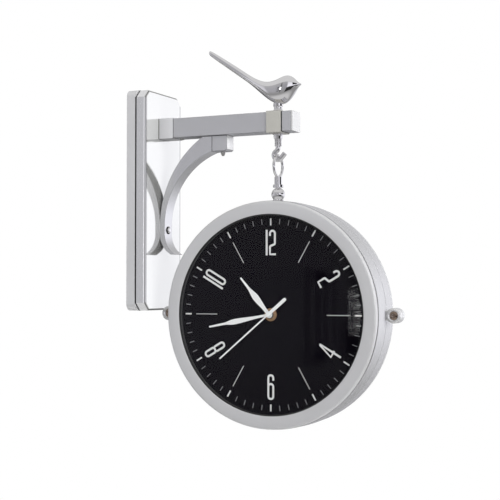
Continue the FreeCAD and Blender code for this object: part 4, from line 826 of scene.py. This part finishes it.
# %% Foot washer
HEAD_HIGH = 2.2
foot_low, foot_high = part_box("brace_foot_screw")
brace_face = foot_high.x - HEAD_HIGH * MM
WASHER = [(2.9, 0.05), (4.0, 0.05), (4.0, 0.45), (3.8, 0.6), (2.9, 0.6)]
washer_spot = Matrix.Translation((brace_face, 0, (foot_low.z + foot_high.z) / 2))
publish(spun(WASHER, 64), "foot_washer", "bracket", black_rubber_and_painted_shade, (),
        washer_spot @ Matrix.Rotation(math.radians(90), 4, "Y"))

# %% [markdown]
# ## The bird
#
# The bird is cast in metal and polished. It could be sculpted from a ball, but a loft keeps its outline
# under control: each station along its back is a ring with a lowest point, a highest point and a half
# width, and bridge_loops joins ring to ring. The rings are narrower on top, for the ridge of the back.
# Subdivision makes it round, and a crease along each side keeps the line of the folded wings.

# %% Rings of the bird
# Along the arm from the post, lowest and highest point over the belly, half width
STATIONS = [(-77.8, 57.6, 61.4, 1.6), (-76.4, 55.8, 61.8, 2.5), (-58, 42.7, 50.0, 3.0),
            (-42, 31.4, 39.6, 3.4), (-32, 24.5, 32.6, 4.8), (-24, 17.9, 27.9, 7.2),
            (-16, 10.9, 24.7, 10.0), (-8, 4.4, 23.9, 12.3), (0, 0.5, 25.9, 13.2), (6, 0.2, 28.7, 12.8),
            (11.5, 3.5, 29.7, 11.5), (16.5, 9.3, 27.3, 9.0), (19.8, 14.2, 23.7, 5.6),
            (22.4, 17.2, 21.2, 2.4), (25.4, 18.7, 19.9, 0.7)]
# Subdivision shrinks the rings a little, so they start larger
SWELL = 1.02
RIDGE_SHARE, WING_SHARE = 0.86, 1.05
bird_base = post_high.z - 2.0 * MM
bm = bmesh.new()
wing_line = bm.edges.layers.float.new("crease_edge")
rings = []
for along, low, high, half in STATIONS:
    made = bmesh.ops.create_circle(bm, segments=16, radius=1)["verts"]
    for vert in made:
        across, up = vert.co.x, vert.co.y
        if up > 0.6:
            across *= RIDGE_SHARE
        elif up > 0.3:
            across *= WING_SHARE
        height = (low + high) / 2 + up * (high - low) / 2 * SWELL
        vert.co = (HOOK_X + along * MM, across * half * SWELL * MM, bird_base + height * MM)
    rings.append(made)
print("rings of the bird:", len(rings))

# %% Bird
loops = []
for ring in map(set, rings):
    loops.append([edge for edge in bm.edges if edge.verts[0] in ring and edge.verts[1] in ring])
for first, second in zip(loops, loops[1:]):
    bmesh.ops.bridge_loops(bm, edges=first + second)
for end in (rings[0], rings[-1]):
    bm.faces.new(end)
bmesh.ops.recalc_face_normals(bm, faces=bm.faces)
WING_HEIGHT = math.sin(math.radians(22.5))
WING_CREASE = 0.8
creased = 0
for ring, following in zip(rings, rings[1:]):
    centre = sum(vert.co.z for vert in ring) / len(ring)
    reach = max(vert.co.z for vert in ring) - centre
    for vert in ring:
        if abs((vert.co.z - centre) / reach - WING_HEIGHT) > 0.05:
            continue
        for edge in vert.link_edges:
            if edge.other_vert(vert) in following:
                edge[wing_line] = WING_CREASE
                creased += 1
bird_piece = publish(bm, "cast_bird", "bracket", chrome, ["bird"], sharp=180)
smoothing = bird_piece.modifiers.new("round", "SUBSURF")
smoothing.levels = smoothing.render_levels = 3
print("creased edges:", creased)

# %% [markdown]
# ## Shadow slabs
#
# Thin black slabs sit where two lacquered pieces meet: at the wall, beside both collars, at the brace's
# end block and between that block and the arm. They are painted shadow: dark pieces put in the gaps where
# shade falls. A dark line in the finish would not follow the joint from every side, so each is a slab a
# little larger than the bars it lies between, with soft corners.


# %% Painted shadow at the joints
SHADOW_SLAB_ROUND = 0.4


def edges_along_arm(bm):
    """Edges of a block that run along the arm."""
    return [edge for edge in bm.edges if abs((edge.verts[0].co - edge.verts[1].co).x) > 1e-6]


def shadow_slab(name, start, length, half_wide, low, high):
    """Black slab across the arm, in millimetres: painted shadow in a joint."""
    bm = bmesh.new()
    block(bm, (start + length / 2, 0, (low + high) / 2), (length, 2 * half_wide, high - low))
    soften(bm, edges_along_arm(bm), SHADOW_SLAB_ROUND, 3)
    publish(bm, name, "bracket", black_rubber_and_painted_shade)


collar_low, collar_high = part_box("hanger_collar")
root_low, root_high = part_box("root_collar")
arm_low, arm_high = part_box("arm_tube")
block_low, block_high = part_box("brace_end_block")
ARM_BOTTOM, ARM_TOP, ARM_HALF = arm_low.z / MM, arm_high.z / MM, arm_high.y / MM
ROOT_PROUD, BLOCK_PROUD = 0.1, 0.12
# Name, start and length along the arm, and how far the slab stands out of it
ARM_SHADOW_SLABS = [("root_shadow_slab", root_high.x / MM, 0.35, 0.25),
             ("hanger_shadow_slab_near", collar_low.x / MM - 0.3, 0.3, 0.25),
             ("hanger_shadow_slab_far", collar_high.x / MM, 0.9, 0.3)]
shadow_slab("wall_shadow_slab", root_low.x / MM, 0.45, root_high.y / MM + ROOT_PROUD, root_low.z / MM - ROOT_PROUD,
     root_high.z / MM + ROOT_PROUD)
for name, start, length, proud in ARM_SHADOW_SLABS:
    shadow_slab(name, start, length, ARM_HALF + proud, ARM_BOTTOM - proud, ARM_TOP + proud)
shadow_slab("arm_seam_shadow", block_low.x / MM - 11, 28.2, block_high.y / MM + BLOCK_PROUD, ARM_BOTTOM - 0.8,
     ARM_BOTTOM - 0.02)
shadow_slab("block_shadow_slab", block_low.x / MM - 0.15, 0.4, block_high.y / MM + BLOCK_PROUD, block_low.z / MM - 0.1,
     block_high.z / MM - 0.1)

# %% [markdown]
# ## The plate's seam
#
# A black gasket lies between the plate's base and its cover, and shows as a line all round. It is a
# frame with clipped corners: a block, bevelled at its long edges, whose two faces are inset and
# joined through the middle.

# %% Plate gasket
GASKET_WIDE, GASKET_PROUD, GASKET_WALL, GASKET_BACK = 1.5, 0.3, 1.2, 0.25
CORNER = 8
cover_size = (cover_high - cover_low) / MM
bm = bmesh.new()
block(bm, (cover_low.x / MM - GASKET_BACK, 0, 0),
      (GASKET_WIDE, cover_size.y + GASKET_PROUD, cover_size.z + GASKET_PROUD))
soften(bm, edges_along_arm(bm), CORNER, 1)
bm.normal_update()
faces = [face for face in bm.faces if abs(face.normal.x) > 0.9]
bmesh.ops.inset_individual(bm, faces=faces, thickness=GASKET_WALL * MM)
faces = [face for face in bm.faces if abs(face.normal.x) > 0.9 and len(face.verts) == 8]
openings = [edge for face in faces for edge in face.edges]
bmesh.ops.delete(bm, geom=faces, context="FACES_ONLY")
bmesh.ops.bridge_loops(bm, edges=openings)
bmesh.ops.recalc_face_normals(bm, faces=bm.faces)
publish(bm, "plate_gasket", "bracket", black_rubber_and_painted_shade)

# %% [markdown]
# ## The brace's end plate
#
# The end of the block is paler than its sides: painted light on the end that faces the right-hand lamp.
# Its finish could be mixed by the way the surface faces, but a thin plate with bevelled edges also gives
# the fine line round it. The plate stops short below, where the block is chamfered.

# %% End plate
END_THICK, END_MARGIN, END_CUT, END_BEVEL = 0.4, 0.3, 1.7, 0.15
plate_low, plate_high = block_low.z / MM + END_CUT, block_high.z / MM - END_MARGIN
plate_wide = 2 * (block_high.y / MM - END_MARGIN)
bm = bmesh.new()
block(bm, (block_high.x / MM + END_THICK / 4, 0, (plate_low + plate_high) / 2),
      (END_THICK, plate_wide, plate_high - plate_low))
soften(bm, list(bm.edges), END_BEVEL, 2)
publish(bm, "block_end_plate", "bracket", end_plate_painted_light)

# %% [markdown]
# ## Floor
#
# The floor is pale and far below, since the clock hangs on a wall. To the camera it glows white, so that
# it is one with the background. Light Path tells the camera's rays from the rest, which meet a pale matt
# surface. Mirrors and glass look past it, because what they see is made in the next step.

# %% Floor
FLOOR_HALF, FLOOR_Z = 9, -1.25
bm = bmesh.new()
bmesh.ops.create_grid(bm, x_segments=1, y_segments=1, size=FLOOR_HALF)
bmesh.ops.translate(bm, vec=(0, 0, FLOOR_Z), verts=bm.verts)
floor_mesh = bpy.data.meshes.new("floor")
bm.to_mesh(floor_mesh)
bm.free()
floor = bpy.data.objects.new("floor", floor_mesh)
scene.collection.objects.link(floor)
floor_white, floor_tree, floor_shader = new_finish("floor_white")[:3]
floor_shader.inputs["Base Color"].default_value = (0.86, 0.86, 0.86, 1)
floor_shader.inputs["Roughness"].default_value = 0.9
floor_glow = floor_tree.nodes.new("ShaderNodeEmission")
for_ray(floor_tree, "Is Camera Ray", floor_shader.outputs["BSDF"], floor_glow.outputs["Emission"])
floor.data.materials.append(floor_white)
floor.visible_glossy = False
floor.visible_transmission = False
print("floor at", FLOOR_Z)

# %% [markdown]
# ## What metal and glass see
#
# Polished metal shows the studio round it. A picture of one could be wrapped round the scene, but a few
# ramps do the same with nothing to load. First comes the bearing of a ray, from the front towards the
# right. A colour ramp then gives the brightness there: bright walls, grey walls and dark gaps.

# %% Bearings
world = bpy.data.worlds.new("studio")
world.use_nodes = True
scene.world = world
sky = world.node_tree


def sky_math(operation, first, second):
    """Math node of the world, on two sockets or on a socket and a number."""
    node = sky.nodes.new("ShaderNodeMath")
    node.operation = operation
    sky.links.new(first, node.inputs[0])
    if isinstance(second, float):
        node.inputs[1].default_value = second
    else:
        sky.links.new(second, node.inputs[1])
    return node.outputs["Value"]


direction = sky.nodes.new("ShaderNodeTexCoord")
split = sky.nodes.new("ShaderNodeSeparateXYZ")
sky.links.new(direction.outputs["Generated"], split.inputs["Vector"])
rise = split.outputs["Z"]
bearing = sky_math("ARCTAN2", split.outputs["X"], sky_math("MULTIPLY", split.outputs["Y"], -1.0))
print("world:", world.name)

# %% Brightness round the studio
room = sky.nodes.new("ShaderNodeValToRGB")
# Bearing in degrees and brightness there
ROOM = [(-180, 0.75), (-160, 0.70), (-152, 0.05), (-118, 0.05), (-112, 0.70), (-92, 0.75), (-86, 0.06),
        (-76, 0.06), (-66, 0.75), (-54, 0.70), (-48, 0.42), (-18.5, 0.42), (-17.5, 0.38), (0.5, 0.40),
        (0.9, 0.06), (6, 0.06), (9, 0.36), (33, 0.34), (39, 1.0), (120, 1.0), (141, 1.06), (166, 1.06),
        (180, 0.70)]
COOL = (0.98, 0.98, 1.04)
while len(room.color_ramp.elements) < len(ROOM):
    room.color_ramp.elements.new(0.5)
for stop, (degrees, grey) in zip(room.color_ramp.elements, ROOM):
    stop.position = (degrees + 180) / 360
    stop.color = (*(grey * part for part in COOL), 1)
sky.links.new(add_range(sky, bearing, -math.pi, math.pi), room.inputs["Fac"])
print("stops round the studio:", len(ROOM))

# %% [markdown]
# Dark cards and a bright one hang in that studio, each between two bearings and two heights. A card is a
# product of soft steps. A grid of bars over the bright card gives the panes that the front glass shows.


# %% Cards in the studio
def between(value, low, high, soft):
    """One inside a range of a value, zero outside, with soft borders."""
    return sky_math("MULTIPLY", add_range(sky, value, low - soft, low + soft),
                    add_range(sky, value, high + soft, high - soft))


def card(left, right, low, high, soft_sides, soft_ends=0.012):
    """Share of a card between two bearings in degrees and two heights."""
    across = between(bearing, math.radians(left), math.radians(right), soft_sides)
    return sky_math("MULTIPLY", across, between(rise, low, high, soft_ends))


def panes(value, pitch):
    """One on the panes of a grid, zero on its bars."""
    return add_range(sky, sky_math("PINGPONG", value, pitch), pitch * 0.06, pitch * 0.16)


# %% [markdown]
# Ceiling and ground come first, each dim near the horizon and brighter beyond. Then come five dark cards
# that the front glass shows, a low one for the underside of the chrome, and one at the height of the
# hook, for the black streak down it. The bright card is last, so that nothing covers it.

# %% Ceiling, ground and cards
# Height at which each begins, height at which it is full, and its grey
RAMPS = [(0.14, 0.50, 0.50), (-0.10, -0.45, 0.30), (0.50, 0.68, 0.68), (-0.55, -0.75, 0.60)]
view = room.outputs["Color"]
for start, end, grey in RAMPS:
    view = add_mix(sky, add_range(sky, rise, start, end), view, grey)
# Left and right bearing, lowest and highest point, grey and softness
DARK_CARDS = [(-9.9, -8.3, -0.21, 0.17, 0.02, 0.004), (-5.1, -4.0, -0.17, 0.13, 0.02, 0.004),
              (-9.9, -4.6, 0.12, 0.17, 0.02, 0.004), (-10.5, -5.0, -0.23, -0.17, 0.02, 0.004),
              (-1.4, 2.6, -0.20, -0.04, 0.02, 0.004), (34, 84, -0.52, -0.13, 0.03, 0.03),
              (68, 124, 0.05, 0.30, 0.02, 0.03)]
for left, right, low, high, grey, soft in DARK_CARDS:
    view = add_mix(sky, card(left, right, low, high, soft), view, grey)
PANE_LIGHT = 4.5
bright_panes = sky_math("MULTIPLY", panes(bearing, 0.0253), panes(rise, 0.0215))
bright_card = sky_math("MULTIPLY", card(0.9, 5.4, -0.10, 0.09, 0.006, 0.01), bright_panes)
view = add_mix(sky, bright_card, view, PANE_LIGHT)
print("cards:", len(DARK_CARDS) + 1)

# %% [markdown]
# Last, each kind of ray gets its own studio. Mirrors and glass see the cards, the camera sees plain white,
# and all other rays see an even grey, which fills the shadows.

# %% What each ray sees
FILL_GREY = 0.40
ray = sky.nodes.new("ShaderNodeLightPath")
mirrored = sky_math("MAXIMUM", ray.outputs["Is Glossy Ray"], ray.outputs["Is Transmission Ray"])
for_light = add_mix(sky, mirrored, FILL_GREY, view)
for_camera = add_mix(sky, ray.outputs["Is Camera Ray"], for_light, 1.0)
sky.links.new(for_camera, sky.nodes["Background"].inputs["Color"])
print("world nodes:", len(sky.nodes))

# %% [markdown]
# ## Lamps
#
# Three large soft lamps light the clock: from the right for the arm's end and the case, from the front
# left, and from behind for the rear dial. Point lamps would leave hard shadows. Mirrors don't show the
# lamps, since they show the cards.


# %% Lamps
AIM = (0.12, 0, -0.05)


def softbox(name, place, width, power):
    """Square area lamp that looks at the clock."""
    lamp = bpy.data.lights.new(name, "AREA")
    lamp.size = width
    lamp.energy = power
    holder = bpy.data.objects.new(name, lamp)
    holder.location = place
    holder.rotation_euler = (Vector(AIM) - Vector(place)).to_track_quat("-Z", "Y").to_euler()
    scene.collection.objects.link(holder)
    holder.visible_glossy = False
    holder.visible_transmission = False


softbox("key_right", (2.2, -0.5, 0.6), 1.4, 62)
softbox("fill_front", (-0.5, -2.3, 0.9), 1.6, 24)
softbox("rear_light", (0.4, 2.3, 0.9), 1.6, 30)
print("lamps:", len(bpy.data.lights))

# %% [markdown]
# ## Camera
#
# A lens of eighty-three millimetres at a little over a metre, swung twenty-five degrees towards the
# arm's end, a little above the clock's middle and tipped up very slightly. A longer lens would flatten
# the case, and a wider one would stretch it.

# %% Camera
eye_spot = Vector((0.6209, -1.0594, -0.0874))
swing, tip = math.radians(25.19), math.radians(1.725)
ahead = Vector((-math.sin(swing) * math.cos(tip), math.cos(swing) * math.cos(tip), math.sin(tip)))
lens = bpy.data.cameras.new("camera")
lens.lens = 83
lens.sensor_width = 36
camera = bpy.data.objects.new("camera", lens)
camera.location = eye_spot
camera.rotation_euler = ahead.to_track_quat("-Z", "Y").to_euler()
scene.collection.objects.link(camera)
scene.camera = camera
scene.view_settings.view_transform = "Standard"
print("camera at", [round(part, 3) for part in camera.location])

# %% [markdown]
# ## Reflections
#
# The plate's face is a mirror, and it stands close to the clock. It could show the case, but then a dark
# disc would lie across its pale face. So all that moves with the clock is kept out of reflections, while
# the bracket and the eye still show in them.

# %% Keep the clock out of reflections
hidden = [piece for piece in scene.objects if piece.type == "MESH" and piece.parent
          and piece.parent not in (frame["bodies"]["bracket"], frame["bodies"]["eye"])]
for piece in hidden:
    piece.visible_glossy = False
print("kept out of reflections:", len(hidden))
